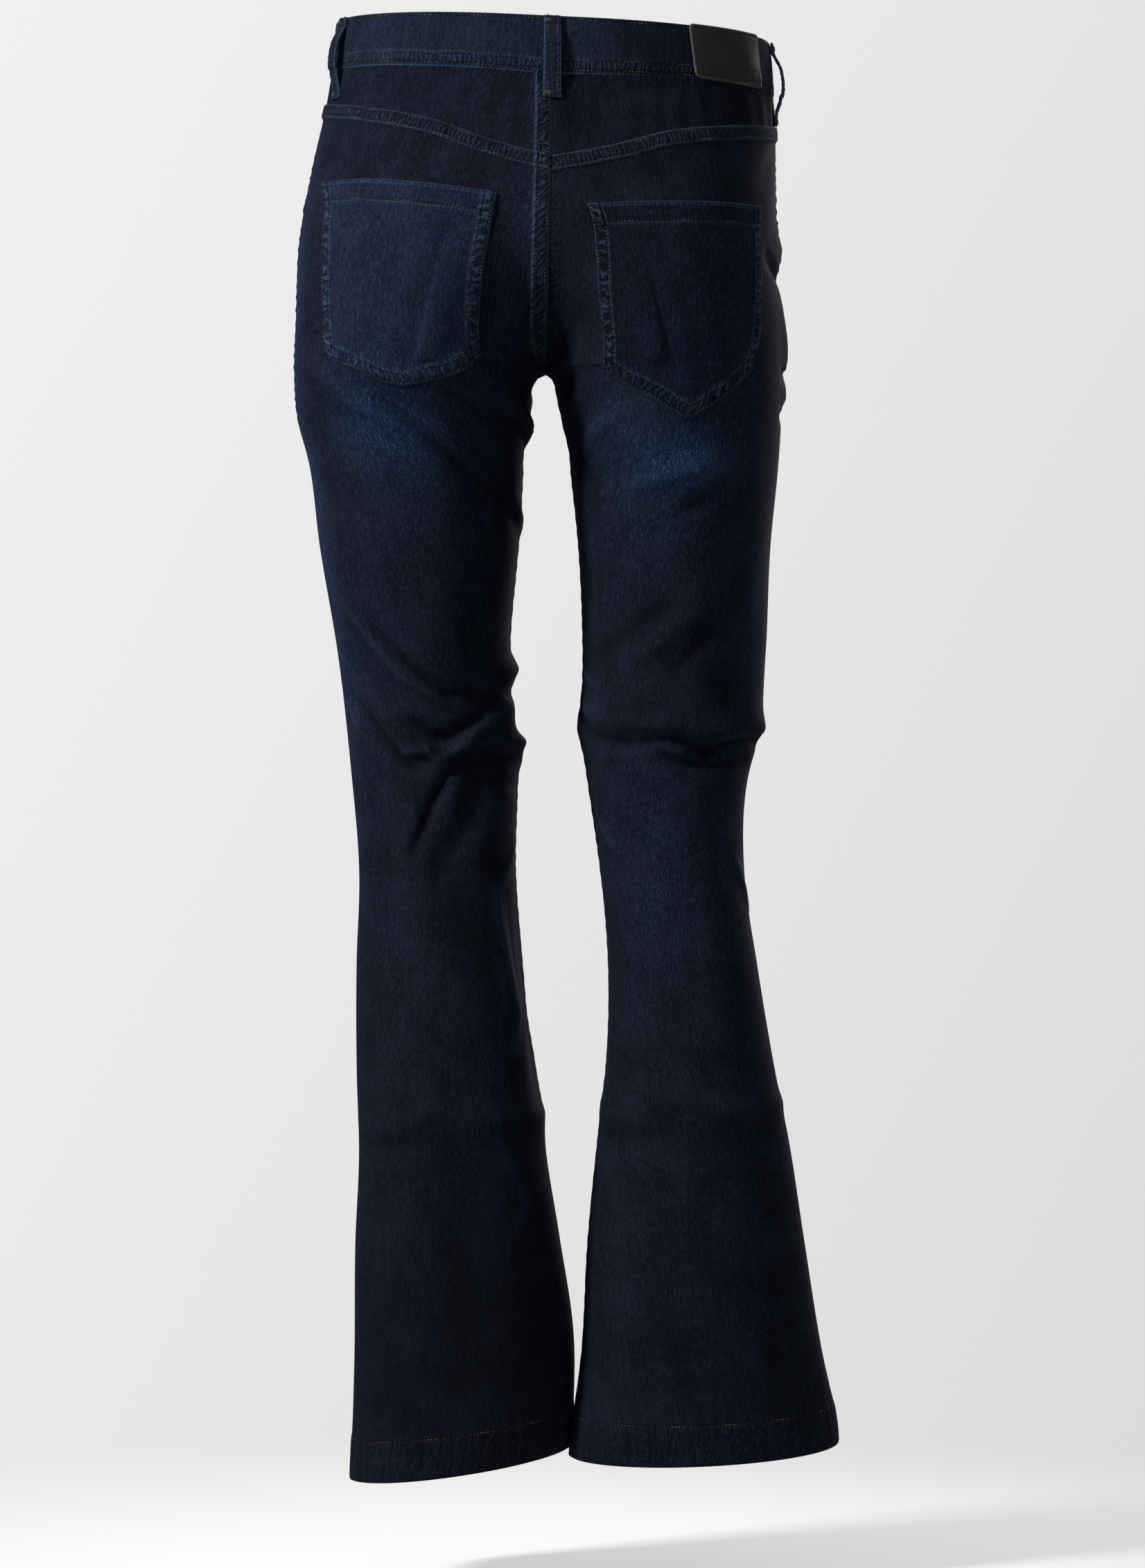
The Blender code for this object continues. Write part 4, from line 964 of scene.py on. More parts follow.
# How far the sewn strips, puckers and hem lift a panel from the garment's form.
def panelOut(leg, face, share, level):
    away = panelAways(leg, face, share, level)
    top, side, inner, foot = [away[edge] for edge in ("fromTop", "fromSide", "fromInner", "fromHem")]
    above = aboveCrotch(level)
    seed = 1.0 if leg == "left" else 4.0
    # puckers down the side seam at the hip, and a ridge along the side and inner seams
    hip = ease(level, -0.300, -0.255) * (1 - ease(level, -0.095, -0.075))
    swing = 0.0004 + 0.0002 * wobble(level, 0.0410, seed)
    out = swing * wobble(level, 0.0076, seed) * hip * bell(side, 0.0080)
    out += 0.0004 * bell(side, 0.0035)
    out += (1 - above) * 0.0006 * bell(inner, 0.0040)
    out += (1 - above) * 0.00018 * wobble(level, 0.0110, seed + 2) * bell(inner, 0.0080)
    if face == "back":
        out += strip(top, sewing["felledWidth"], sewing["yokeStripHeight"])
        out += twoGrooves(top, sewing, 0.0003)
        if leg == "left":
            out += above * strip(inner, sewing["centreWidth"], sewing["felledHeight"])
    else:
        opening = 1 - ease(share, 0.44, 0.47)
        out += opening * strip(top, sewing["felledWidth"], 0.0007)
        if leg == "left":
            fly = ease(level, -0.156, -0.150)
            lap = fly * strip(inner, 0.0365, 0.0006)
            out += lap + (1 - fly) * above * strip(inner, sewing["centreWidth"], 0.0009)
    # the turned hem stands out, with its row pressed in and its foot rounded
    out += 0.0006 * (1 - ease(foot, 0.0292, 0.0312)) + groove(foot, sewing["hemRow"], 0.0005, 0.0012)
    out -= 0.0007 * (1 - ease(foot, -0.0002, 0.0010))
    ripple = ease(foot, 0.002, 0.010) * (1 - ease(foot, 0.030, 0.042))
    out += 0.00035 * wobble(side, 0.0110, seed) * ripple
    return out


# Positions over a span: a few set distances at each end and an even run between.
def crowd(near, middle, far, span):
    near, far = np.array(near), np.array(far)
    between = np.linspace(near[-1], span - far[-1], middle + 2)[1:-1]
    return np.concatenate([near, between, (span - far)[::-1]])


# Shares and levels of a panel's grid, close together at its seams.
def panelPlaces(leg, face, middleColumns, seatRows, legRows):
    crotch, hem = form["crotch"], form["hem"][leg]
    topSteps, hemSteps = panelSteps["top"], panelSteps["hem"]
    archSteps = 0.045 * (np.arange(1, 21) / 20) ** 1.5
    # the columns run straight down past the fork, and only those near the centre seam draw in to it
    full = surfaces[leg, face][2]
    ends = (crotch, -0.12)
    straight = np.interp(levelSteps, ends, np.interp(ends, levelSteps, full))
    line = np.where(levelSteps > crotch, straight, full)
    line = np.where(levelSteps > ends[1], full, np.maximum(line, full))
    runs = np.array([crowd(panelSteps["side"], middleColumns, innerSteps, span) for span in line])
    girths = (runs - (line - full)[:, None] * (runs / line[:, None]) ** 4) / full[:, None]
    columns = range(girths.shape[1])
    # the rows lie closer together behind the knees
    legTop, legFoot = crotch - archSteps[-1], hem + hemSteps[-1] + 0.003
    known = np.array([legTop, -0.440, -0.600, -0.820, legFoot])
    spent = np.cumsum([0.0, 0.24, 0.40, 0.22, 0.14])
    low = [crotch - step for step in archSteps]
    low += [np.interp(k / legRows, spent, known) for k in range(1, legRows + 1)]
    low += [hem + step for step in hemSteps[::-1]]
    share = girths[len(levelSteps) // 2][None, :]
    # the top edge depends on the shares, and they on the levels, so both are worked out in turns
    for _ in range(3):
        top = panelTop(face, share[0])
        seatTop = top - topSteps[-1]
        rows = [top - step for step in topSteps]
        rows += [crotch + (seatTop - crotch) * (1 - k / seatRows) ** 1.15 for k in range(1, seatRows + 1)]
        rows += [np.full(len(columns), at) for at in low]
        level = np.array(rows)
        share = np.stack([np.interp(level[:, c], levelSteps, girths[:, c]) for c in columns], axis=1)
    return share, level


def facesIn(leg, face):
    return (leg == "right") == (face == "back")


def makePanel(leg, face, material, detail, sheet):
    name = face + "Panel." + leg
    share, level = panelPlaces(leg, face, *detail)
    mesh, column, row = gridMesh(name, share.shape[1], share.shape[0], facesIn(leg, face))
    share, level = share[row, column], level[row, column]
    points = clothPoints(leg, face, share, level, panelOut(leg, face, share, level))
    mesh.vertices.foreach_set("co", points.ravel())
    values = panelAways(leg, face, share, level)
    for label, valueAt in (("fade", fadeAt), ("shadow", shadowAt), ("ridgeWearAndPaintedHighlight", ridgeWearAndHighlightAt)):
        values[label] = valueAt(leg, face, share, level)
    u = share * girthAt(leg, face, level) + (0.3 if leg == "left" else 0.9)
    giveCloth(mesh, u, level, values)
    piece = addPiece(name, mesh, material, [face + "_" + leg])
    addWall(piece, 0.0030, values["fromHem"] < sewing["hemHeight"], 0.5)
    print(name, len(mesh.polygons), "faces, area", round(clothArea(mesh), 4))


rowPair = (sewing["rowNear"], sewing["rowFar"])
seamSide = ("fromSide", "V", 0.0080, 0.0066, 0.0, 0.10, 0.10, 1.0, 1.0)
# its puckers don't mirror the back's
seamSideFront = ("fromSide", "V", 0.0062, 0.0083, 1.6, 0.06, 0.05, 1.0, 1.0)
seamInner = ("fromInner", "V", 0.0060, 0.0060, 0.0, 0.10, 0.06, 1.0, 1.0)
seamHem = ("fromHem", "U", 0.0270, 0.0075, 0.0, 0.06, 0.03, sewing["hemRow"], 1.0)
seamYoke = ("fromTop", "U", 0.0088, 0.0034, 0.12, 0.74, 0.24, *rowPair)
seamCentre = ("fromInner", "V", 0.0105, 0.0056, 0.8, 0.70, 0.30, *rowPair)
seamOpening = ("fromTop", "U", 0.0088, 0.0030, 0.2, 0.40, 0.10, *rowPair)
frontSeams = (seamOpening, seamInner, seamSideFront, seamHem)
# each panel's material and sewn edges
panelCut = {
    ("left", "back"): ("backLeftDenim", (seamYoke, seamCentre, seamSide, seamHem)),
    ("left", "front"): ("frontLeftDenim", frontSeams),
    ("right", "back"): ("backRightDenim", (seamYoke, seamInner, seamSide, seamHem)),
    ("right", "front"): ("frontRightDenim", frontSeams),
}
# grid (columns, rows over the seat, rows down the leg) and sheet (width, height, area)
faceCut = {
    "back": ((80, 104, 246), (0.30, 0.97, 0.24)),
    "front": ((46, 104, 190), (0.28, 1.00, 0.23)),
}
for (leg, face), (name, seams) in panelCut.items():
    makePanel(leg, face, makeDenim(name, panelLook, seams), *faceCut[face])
print("panels made")

# yokes
# across and down are the grid's steps; shape turns them into points, the map and the values.
def clothPiece(name, node, material, across, down, shape, wall, flip=False):
    mesh, column, row = gridMesh(name, len(across), len(down), flip)
    points, u, v, values = shape(np.asarray(across)[column], np.asarray(down)[row])
    mesh.vertices.foreach_set("co", points.ravel())
    giveCloth(mesh, u, v, values)
    piece = addPiece(name, mesh, material, [node])
    addWall(piece, wall)
    print(name, len(mesh.polygons), "faces, area", round(clothArea(mesh), 4))
    return piece


yokeCut = {"span": 0.208, "sideSteps": (0.0, 0.001, 0.003, 0.006), "cloth": 0.0015}


def yokeTop(share):
    return waistSeam("back", share) + sewing["underBand"]


def yokeOut(leg, face, share, level):
    seed = 0.0 if leg == "left" else 3.0
    along, under = share * 0.2, yokeTop(share) - level
    out = 0.0003 * wobble(along, 0.0075, seed) * bell(under, 0.006)
    out += 0.0004 * wobble(along, 0.0190, seed + 1) * ease(under, 0.003, 0.012)
    if leg == "left":
        inner = (1 - share) * girthAt(leg, face, level)
        out += strip(inner, sewing["centreWidth"], sewing["felledHeight"])
    return out


def makeYoke(leg, material):
    def shape(across, down):
        level = yokeTop(across) + (yokeLevel(across) - yokeTop(across)) * down
        girth = girthAt(leg, "back", level)
        values = {
            "fromSide": across * girth, "fromInner": (1 - across) * girth, "fromTop": yokeTop(across) - level,
            "fade": 0.0, "shadow": 0.0,
        }
        u = across * girth + (1.5 if leg == "left" else 2.1)
        points = clothPoints(leg, "back", across, level, yokeOut(leg, "back", across, level))
        return points, u, level, values

    across = crowd(yokeCut["sideSteps"], 110, innerSteps, yokeCut["span"]) / yokeCut["span"]
    piece = clothPiece(
        "yoke." + leg, "yoke_" + leg, material, across, np.linspace(0, 1, 34), shape,
        yokeCut["cloth"], facesIn(leg, "back"),
    )


seamUnderBand = ("fromTop", "U", 0.0040, 0.0040, 0.3, 0.0, 0.08, 1.0, 1.0)
makeYoke("left", makeDenim("yokeLeftDenim", yokeLook, (seamCentre, seamSide, seamUnderBand)))
makeYoke("right", makeDenim("yokeRightDenim", shadedLook, (seamSide, seamUnderBand)))

# waistband
band = {
    "start": 0.004, "end": 4.10, "ramp": 0.12, "lapRise": 0.0038, "proud": 0.0008, "cloth": 0.0030,
    "rowTop": 0.0022, "rowNear": 0.0030, "rowFar": 0.0100, "groove": 0.00035,
    # distances from the top edge at which the grid has lines
    "steps": (
        0, 0.0004, 0.0009, 0.0015, 0.0022, 0.0030, 0.0045, 0.007, 0.010, 0.0135, 0.017, 0.0205, 0.0235, 0.0258,
        0.0270, 0.0280, 0.0290, 0.0302, 0.0320, 0.0335, 0.0345, 0.0352, 0.0362, 0.0370, 0.0376, 0.0380,
    ),
}


# The level of the waistband's lower edge.
def bandFoot(distance):
    return waistSeam("back", np.clip(1 - np.abs(distance - 2), 0.0, 1.0))


# The waistband's outer surface, from the form.
def bandOut(distance, level):
    top, foot = -level, level - bandFoot(distance)
    along = distance * form["waistQuarter"]
    out = band["proud"] + ease(distance, 4 - band["ramp"], 4.0) * band["lapRise"]
    out = out - 0.0008 * (1 - ease(top, 0.0, 0.0014)) - 0.0007 * (1 - ease(foot, 0.0, 0.0014))
    rows = groove(top, band["rowTop"], band["groove"]) + groove(foot, band["rowNear"], band["groove"])
    out += rows + groove(foot, band["rowFar"], band["groove"])
    sewn = ease(foot, 0.0008, 0.0030) * (1 - ease(foot, 0.0098, 0.0130))
    out += 0.00028 * wobble(along, 0.0031, 2.0) * sewn
    out += 0.00012 * wobble(along, 0.0042, 5.0) * (1 - ease(top, 0.002, 0.007))
    out += 0.0005 * wobble(along, 0.064, 1.0) * ease(top, 0.004, 0.014) * ease(foot, 0.006, 0.016)
    return out


def bandPoints(distance, level, out=0.0):
    return waistPoints(distance, level, bandOut(distance, level) + out)


def bandShape(across, down):
    distance = band["start"] + across * (band["end"] - band["start"])
    foot = bandFoot(distance) + form["gap"] / 2
    level = foot * down
    shadow = 0.52 * (1 - ease(distance, 1.66, 1.97))        # its right half turns from the light
    values = {"fromTop": -level, "fromFoot": level - foot, "fade": 0.03, "shadow": shadow}
    return bandPoints(distance, level), distance * form["waistQuarter"], level, values


waistMaterial = makeDenim("waistbandDenim", waistLook, (
    ("fromFoot", "U", 0.0100, 0.0034, 0.10, 0.74, 0.20, band["rowNear"], band["rowFar"]),
    ("fromTop", "U", 0.0020, 0.0040, 0.0, 0.14, 0.05, band["rowTop"], 1.0),
))
waistband = clothPiece(
    "waistband.cloth", "waistband", waistMaterial, np.linspace(0, 1, 760),
    np.array(band["steps"]) / band["steps"][-1], bandShape, band["cloth"], True,
)

# back pockets
# each edge as shares and levels: top and foot run inwards, outer and inner downwards
pockets = {
    "left": {
        "top": (
            (0.270, -0.1229), (0.380, -0.1229), (0.480, -0.1229), (0.590, -0.1244), (0.680, -0.1259),
            (0.770, -0.1276), (0.850, -0.1300),
        ),
        "inner": (
            (0.850, -0.1300), (0.842, -0.1495), (0.832, -0.1673), (0.820, -0.1866), (0.805, -0.2050),
            (0.775, -0.2240), (0.735, -0.2385),
        ),
        "foot": (
            (0.325, -0.2400), (0.380, -0.2500), (0.430, -0.2575), (0.485, -0.2618), (0.530, -0.2590),
            (0.600, -0.2520), (0.735, -0.2385),
        ),
        "outer": (
            (0.270, -0.1229), (0.310, -0.1421), (0.330, -0.1640), (0.340, -0.1880), (0.340, -0.2150),
            (0.325, -0.2400),
        ),
    },
    "right": {
        "top": (
            (0.290, -0.1250), (0.400, -0.1262), (0.500, -0.1275), (0.660, -0.1303), (0.770, -0.1320),
            (0.890, -0.1347),
        ),
        "inner": (
            (0.890, -0.1347), (0.872, -0.1495), (0.862, -0.1732), (0.842, -0.2020), (0.785, -0.2270),
            (0.655, -0.2500),
        ),
        "foot": (
            (0.295, -0.2480), (0.380, -0.2670), (0.463, -0.2838), (0.505, -0.2790), (0.560, -0.2690),
            (0.655, -0.2500),
        ),
        "outer": (
            (0.290, -0.1250), (0.303, -0.1466), (0.312, -0.1673), (0.328, -0.1910), (0.330, -0.2206),
            (0.295, -0.2480),
        ),
    },
}
pocketCut = {
    "band": 0.0155, "bandRow": 0.0138, "turned": 0.0100, "rowNear": 0.0018, "rowFar": 0.0082, "cloth": 0.0010,
    "width": 0.137, "height": 0.140, "points": 40,
    "edgeSteps": (0.0, 0.0005, 0.0011, 0.0019, 0.0030),
    "bandSteps": (
        0.0, 0.0005, 0.0011, 0.0022, 0.0040, 0.0065, 0.0090, 0.0112, 0.0128, 0.0138, 0.0148, 0.0155, 0.0161,
        0.0167, 0.0175,
    ),
}


# Distances along a line of points.
def runAlong(line):
    return np.concatenate([[0.0], np.cumsum(np.linalg.norm(np.diff(line, axis=0), axis=1))])


# The places on a line at some distances, where run holds the distance of each of its points.
def placesOn(line, run, at):
    return np.stack([np.interp(at, run, line[:, k]) for k in range(line.shape[1])], axis=-1)


# Evenly spaced points along a rounded line.
def smoothLine(points, count):
    points = np.asarray(points, dtype=float)
    steps = np.linspace(0, len(points) - 1, count * 3)
    slopes = np.gradient(points, axis=0)
    low = np.clip(steps.astype(int), 0, len(points) - 2)
    t = (steps - low)[:, None]
    curve = rounded(points[low], points[low + 1], slopes[low], slopes[low + 1], t)
    run = runAlong(curve)
    return placesOn(curve, run, np.linspace(0, run[-1], count))


# Distance over the cloth from a line of distances from the side seam and levels.
def awayFrom(across, level, line):
    here = np.stack([across, level], axis=1)
    best = np.full(len(across), 9.0)
    for start, end in zip(line[:-1], line[1:]):
        run = end - start
        t = np.clip(((here - start) @ run) / (run @ run), 0.0, 1.0)
        best = np.minimum(best, np.linalg.norm(here - start - t[:, None] * run, axis=1))
    return best


def pocketLine(leg, points):
    line = [(share * girthAt(leg, "back", level), level) for share, level in points]
    return smoothLine(line, pocketCut["points"])


pocketLines = {leg: {edge: pocketLine(leg, points) for edge, points in pockets[leg].items()} for leg in pockets}


def pocketAways(leg, across, level):
    away = {edge: awayFrom(across, level, line) for edge, line in pocketLines[leg].items()}
    return {"fromTop": away["top"], "fromSide": np.minimum(away["outer"], away["inner"]), "fromFoot": away["foot"]}


# The pocket's outer surface, from the panel.
def pocketOut(leg, across, level):
    away = pocketAways(leg, across, level)
    top, edge = away["fromTop"], np.minimum(away["fromSide"], away["fromFoot"])
    seed = 2.0 if leg == "left" else 6.0
    out = 0.0016 + 0.0006 * (1 - ease(edge, pocketCut["turned"], pocketCut["turned"] + 0.0020))
    out += 0.0009 * (1 - ease(top, pocketCut["band"], pocketCut["band"] + 0.0012))
    out -= 0.0009 * (1 - ease(np.minimum(edge, top), 0.0, 0.0012))
    out += twoGrooves(edge, pocketCut, 0.0003)
    out += groove(top, pocketCut["bandRow"], 0.0003)
    sewn = ease(edge, 0.001, 0.003) * (1 - ease(edge, 0.0080, 0.0115))
    out += 0.00030 * wobble(level + across * 0.6, 0.0036, seed) * sewn
    slack = 0.00035 * wobble(across - level * 0.3, 0.0270, seed + 1) * ease(edge, 0.008, 0.02)
    out += slack * ease(top, 0.014, 0.03)
    out += 0.0008 * bell(top, 0.009) * ease(edge, 0.010, 0.050)
    return out


# Points on a pocket, from distances from the side seam and levels.
def pocketPoints(leg, across, level, out=0.0):
    share = across / girthAt(leg, "back", level)
    lift = panelOut(leg, "back", share, level) + pocketOut(leg, across, level)
    return clothPoints(leg, "back", share, level, lift + out)


def makePocket(leg, material):
    lines = pocketLines[leg]

    def pick(edge, at):
        return placesOn(lines[edge], np.linspace(0, 1, pocketCut["points"]), at[:, 0])

    def shape(across, down):
        across, down = across[:, None], down[:, None]
        corners = [lines["top"][0], lines["top"][-1], lines["foot"][0], lines["foot"][-1]]
        spot = (1 - down) * pick("top", across) + down * pick("foot", across)
        spot += (1 - across) * pick("outer", down) + across * pick("inner", down)
        spot -= (1 - down) * ((1 - across) * corners[0] + across * corners[1])
        spot -= down * ((1 - across) * corners[2] + across * corners[3])
        level = spot[:, 1]
        share = spot[:, 0] / girthAt(leg, "back", level)
        values = pocketAways(leg, spot[:, 0], level)
        pastBand = values["fromTop"] - pocketCut["band"]
        # painted shade: the right pocket darkens inwards, and a thin dark line lies just below each pocket's band
        paintedShadeInwards = across[:, 0] if leg == "right" else 0.0 * level      # the right pocket gets darker inwards
        values["fromBand"] = np.abs(pastBand)
        values["fade"] = 0.05 - 0.035 * paintedShadeInwards + 0.5 * fadeAt(leg, "back", share, level)
        values["shadow"] = 0.26 * paintedShadeInwards + 0.45 * bell(pastBand - 0.0012, 0.0014)
        return pocketPoints(leg, spot[:, 0], level), spot[:, 0] + 3.0, level, values

    edgeSteps, width, height = pocketCut["edgeSteps"], pocketCut["width"], pocketCut["height"]
    piece = clothPiece(
        "backPocket." + leg, "back_pocket_" + leg, material, crowd(edgeSteps, 96, edgeSteps, width) / width,
        crowd(pocketCut["bandSteps"], 84, edgeSteps, height) / height, shape, pocketCut["cloth"],
        facesIn(leg, "back"),
    )


for leg, look in (("left", pocketLook), ("right", shadedLook)):
    makePocket(leg, makeDenim("pocketDenim." + leg, look, (
        ("fromSide", "V", 0.0085, 0.0070, 0.2, 0.72, 0.50, pocketCut["rowNear"], pocketCut["rowFar"]),
        ("fromFoot", "U", 0.0085, 0.0052, 0.2, 0.72, 0.34, pocketCut["rowNear"], pocketCut["rowFar"]),
        ("fromTop", "U", 0.0020, 0.0040, 0.0, 0.48, 0.05, pocketCut["bandRow"], 1.0),
        ("fromBand", "U", 0.0010, 0.0035, 0.0, 0.46, 0.03, 1.0, 1.0),
    )))

# front-pocket facings and the fly shield
innerDenim = makeDenim("facingDenim", insideLook, (("fromSide", "V", 0.0030, 0.0050, 0.0, 0.15, 0.05, 1.0, 1.0),))
facingCut = {"start": 0.0010, "reach": 0.575, "below": 0.016, "cloth": 0.0012}
shieldCut = {"start": 3.965, "width": 0.036, "top": -0.0428, "height": 0.1072, "cloth": 0.0015}


def makeFacing(leg):
    def shape(across, down):
        share = facingCut["start"] + across * facingCut["reach"]
        top, opening = waistSeam("front", share) + sewing["underBand"], pocketOpening(share)
        level = top + (opening - facingCut["below"] - top) * down
        out = -0.0002 - 0.0022 * (1 - ease(level - opening, 0.001, 0.020))
        out += 0.0004 * wobble(share * 0.3 + level, 0.030, 2.0)
        values = {"fromSide": share * 0.2, "fade": 0.02, "shadow": 0.0}
        return clothPoints(leg, "front", share, level, np.minimum(out, -0.0001)), share * 0.24, level, values

    piece = clothPiece(
        "pocketFacing." + leg, "pocket_facing_" + leg, innerDenim, np.linspace(0, 1, 70),
        np.linspace(0, 1, 50), shape, facingCut["cloth"], facesIn(leg, "front"),
    )


makeFacing("left")
makeFacing("right")


def shieldShape(across, down):
    along = across * shieldCut["width"]
    distance = shieldCut["start"] + along / form["waistQuarter"]
    level = shieldCut["top"] - shieldCut["height"] * down
    values = {"fromSide": along, "fade": 0.0, "shadow": 0.0}
    return waistPoints(distance, level, -0.0023 - 0.0003 * np.sin(down * 40)), along, level, values


shield = clothPiece(
    "flyShield", "fly_shield", innerDenim, np.linspace(0, 1, 20), np.linspace(0, 1, 50), shieldShape,
    shieldCut["cloth"], True,
)

# belt loops
# name: node, place round the waist, lean in metres over its length, how far it stands out
loops = {
    "beltLoop.back": ("belt_loop_back", 2.00, 0.000, 0.0036),
    "beltLoop.sideLeft": ("belt_loop_side_left", 2.82, 0.002, 0.0040),
    "beltLoop.sideRight": ("belt_loop_side_right", 1.04, -0.001, 0.0046),
    "beltLoop.frontLeft": ("belt_loop_front_left", 3.52, 0.001, 0.0050),
    "beltLoop.frontRight": ("belt_loop_front_right", 0.48, -0.001, 0.0046),
}
loopCut = {
    "half": 0.0120 / 2, "row": 0.0030, "foot": -0.0598, "length": 0.06, "cloth": 0.0015,
    "across": (-1, -0.96, -0.9, -0.78, -0.62, -0.5, -0.38, -0.2, 0, 0.2, 0.38, 0.5, 0.62, 0.78, 0.9, 0.96, 1),
}


# The surface that a loop is sewn to: the waistband, or what is below it.
def underLoop(distance, level):
    foot = bandFoot(distance)
    onBand = ease(level, foot - 0.0020, foot + 0.0010)
    centre = 0.0013 * (np.abs(distance - 2) < 0.06)
    return onBand * 0.0011 + (1 - onBand) * centre


# Levels and distances out along a loop, from the end tucked under its top to the one under its foot.
def loopPath(stand):
    line = (
        (-0.0085, 0.0002), (-0.0050, 0.0002), (-0.0018, 0.0003), (-0.0006, 0.0008), (-0.0004, 0.0016),
        (-0.0014, 0.0024), (-0.0045, 0.0027), (-0.0085, 0.0028), (-0.0130, 0.0032 + stand * 0.35),
        (-0.0190, 0.0034 + stand * 0.80), (-0.0270, 0.0034 + stand), (-0.0350, 0.0034 + stand * 0.92),
        (-0.0430, 0.0032 + stand * 0.58), (-0.0490, 0.0028 + stand * 0.12), (-0.0530, 0.0025),
        (-0.0570, 0.0024), (-0.0592, 0.0021), (-0.0598, 0.0012), (-0.0588, 0.0004), (-0.0560, 0.0002),
        (-0.0520, 0.0002),
    )
    return smoothLine(line, 90)


# across is from -1 to 1 over the loop's width.
def loopPoints(name, across, down, out=0.0):
    _, distance, lean, stand = loops[name]
    path, half = loopPath(stand), loopCut["half"]
    level, lift = placesOn(path, np.arange(len(path)), down * (len(path) - 1)).T
    spot = distance + (across * half + lean * level / loopCut["length"]) / form["waistQuarter"]
    front = ease(down, 0.09, 0.13) * (1 - ease(down, 0.86, 0.90))
    pillow = -0.0005 * np.abs(across) ** 6 - 0.00025 * bell(np.abs(across) * half - loopCut["row"], 0.0007)
    pillow += 0.00015 * wobble(level + across * 0.003, 0.0046, distance)
    return waistPoints(spot, level, underLoop(spot, level) + lift + front * pillow + out), level


loopDenim = makeDenim("loopDenim", waistLook, (
    ("fromSide", "V", 0.0020, 0.0030, 0.3, 0.58, 0.10, loopCut["row"], 1.0),
    ("fromFoot", "U", 0.0020, 0.0030, 0.0, 0.50, 0.10, 1.0, 1.0),
))


def makeLoop(name):
    def shape(across, down):
        points, level = loopPoints(name, across, down)
        values = {
            "fromSide": (1 - np.abs(across)) * loopCut["half"], "fromFoot": np.abs(level - loopCut["foot"]),
            "fade": 0.02, "shadow": 0.0,
        }
        return points, across * loopCut["half"], down * 0.07, values

    piece = clothPiece(
        name, loops[name][0], loopDenim, loopCut["across"], np.linspace(0, 1, 96), shape,
        loopCut["cloth"], True,
    )


for name in loops:
    makeLoop(name)

# the bare patch
patchCut = {
    "corners": ((0.228, -0.0003), (0.530, -0.0003), (0.525, -0.0378), (0.238, -0.0378)), "cloth": 0.0016,
    "row": 0.0021, "width": 0.0615, "height": 0.0375, "corner": 0.003, "drawnIn": 0.0009, "wall": 0.0014,
    "edgeSteps": (0.0, 0.0004, 0.0009, 0.0015, 0.0021, 0.0028),
}


# Shares of the right-hand side and levels.
def patchSpot(across, down):
    corners = [np.array(corner) for corner in patchCut["corners"]]
    across, down = across[:, None], down[:, None]
    above = (1 - across) * corners[0] + across * corners[1]
    below = (1 - across) * corners[3] + across * corners[2]
    return ((1 - down) * above + down * below).T


# Distances from the nearer upright edge and the nearer level one.
def patchAways(across, down):
    return np.minimum(across, 1 - across) * patchCut["width"], np.minimum(down, 1 - down) * patchCut["height"]


def patchAway(across, down):
    sideways, upright = patchAways(across, down)
    inCorner = (sideways < 0.002) & (upright < 0.002)
    return np.where(inCorner, 0.002 - np.hypot(0.002 - sideways, 0.002 - upright), np.minimum(sideways, upright))


def patchPoints(across, down, out=0.0):
    share, level = patchSpot(across, down)
    away = patchAway(across, down)
    relief = patchCut["cloth"] - 0.0009 * (1 - ease(away, 0.0, 0.0009))
    relief += groove(away, patchCut["row"], 0.0003, 0.0008)
    relief += 0.0003 * np.sin(across * 5.0 + 0.6) * np.sin(down * 3.1)
    return bandPoints(1 + share, level, relief + out)


# Dark, dry leather with a paler cut edge.
def makeLeather():
    material, tree, shader = newMaterial("patchLeather", {"Specular IOR Level": 0.35})
    cloth = clothMap(tree)
    grain = stretchedNoise(tree, cloth, (900, 900, 1), 4.0, 0.65)
    broad = stretchedNoise(tree, cloth, (60, 60, 1), 3.0, 0.5)
    pores = {"Vector": scaledNode(tree, cloth, (1100, 1100, 1)), "Scale": 1.0}
    cells = addNode(tree, "ShaderNodeTexVoronoi", pores).outputs["Distance"]
    patches = rangeNode(tree, broad, 0.3, 0.7)
    tone = mixNode(tree, patches, (0.0085, 0.0098, 0.0102, 1), (0.0150, 0.0170, 0.0168, 1))
    edge = fallNode(tree, attributeNode(tree, "fromSide"), 0.0003, 0.0011)
    worn = times(tree, edge, rangeNode(tree, broad, 0.3, 0.6, 0.25, 0.8))
    linkTo(tree, shader, {
        "Base Color": mixNode(tree, worn, tone, (0.10, 0.085, 0.065, 1)),
        "Roughness": rangeNode(tree, grain, 0.3, 0.7, 0.50, 0.68),
        "Normal": bumpNode(tree, weighed(tree, (cells, 0.6), (grain, 0.6)), 0.55, 0.0004),
    })
    return material


# The corners are rounded by drawing the grid's own corners in.
def patchShape(across, down):
    width, height = patchCut["width"], patchCut["height"]
    sideways, upright = patchAways(across, down)
    corner = np.clip(1 - sideways / patchCut["corner"], 0, 1) * np.clip(1 - upright / patchCut["corner"], 0, 1)
    roundedAcross = across + np.where(across < 0.5, 1, -1) * corner * patchCut["drawnIn"] / width
    roundedDown = down + np.where(down < 0.5, 1, -1) * corner * patchCut["drawnIn"] / height
    values = {"fromSide": patchAway(across, down)}
    return patchPoints(roundedAcross, roundedDown), across * width, down * height, values


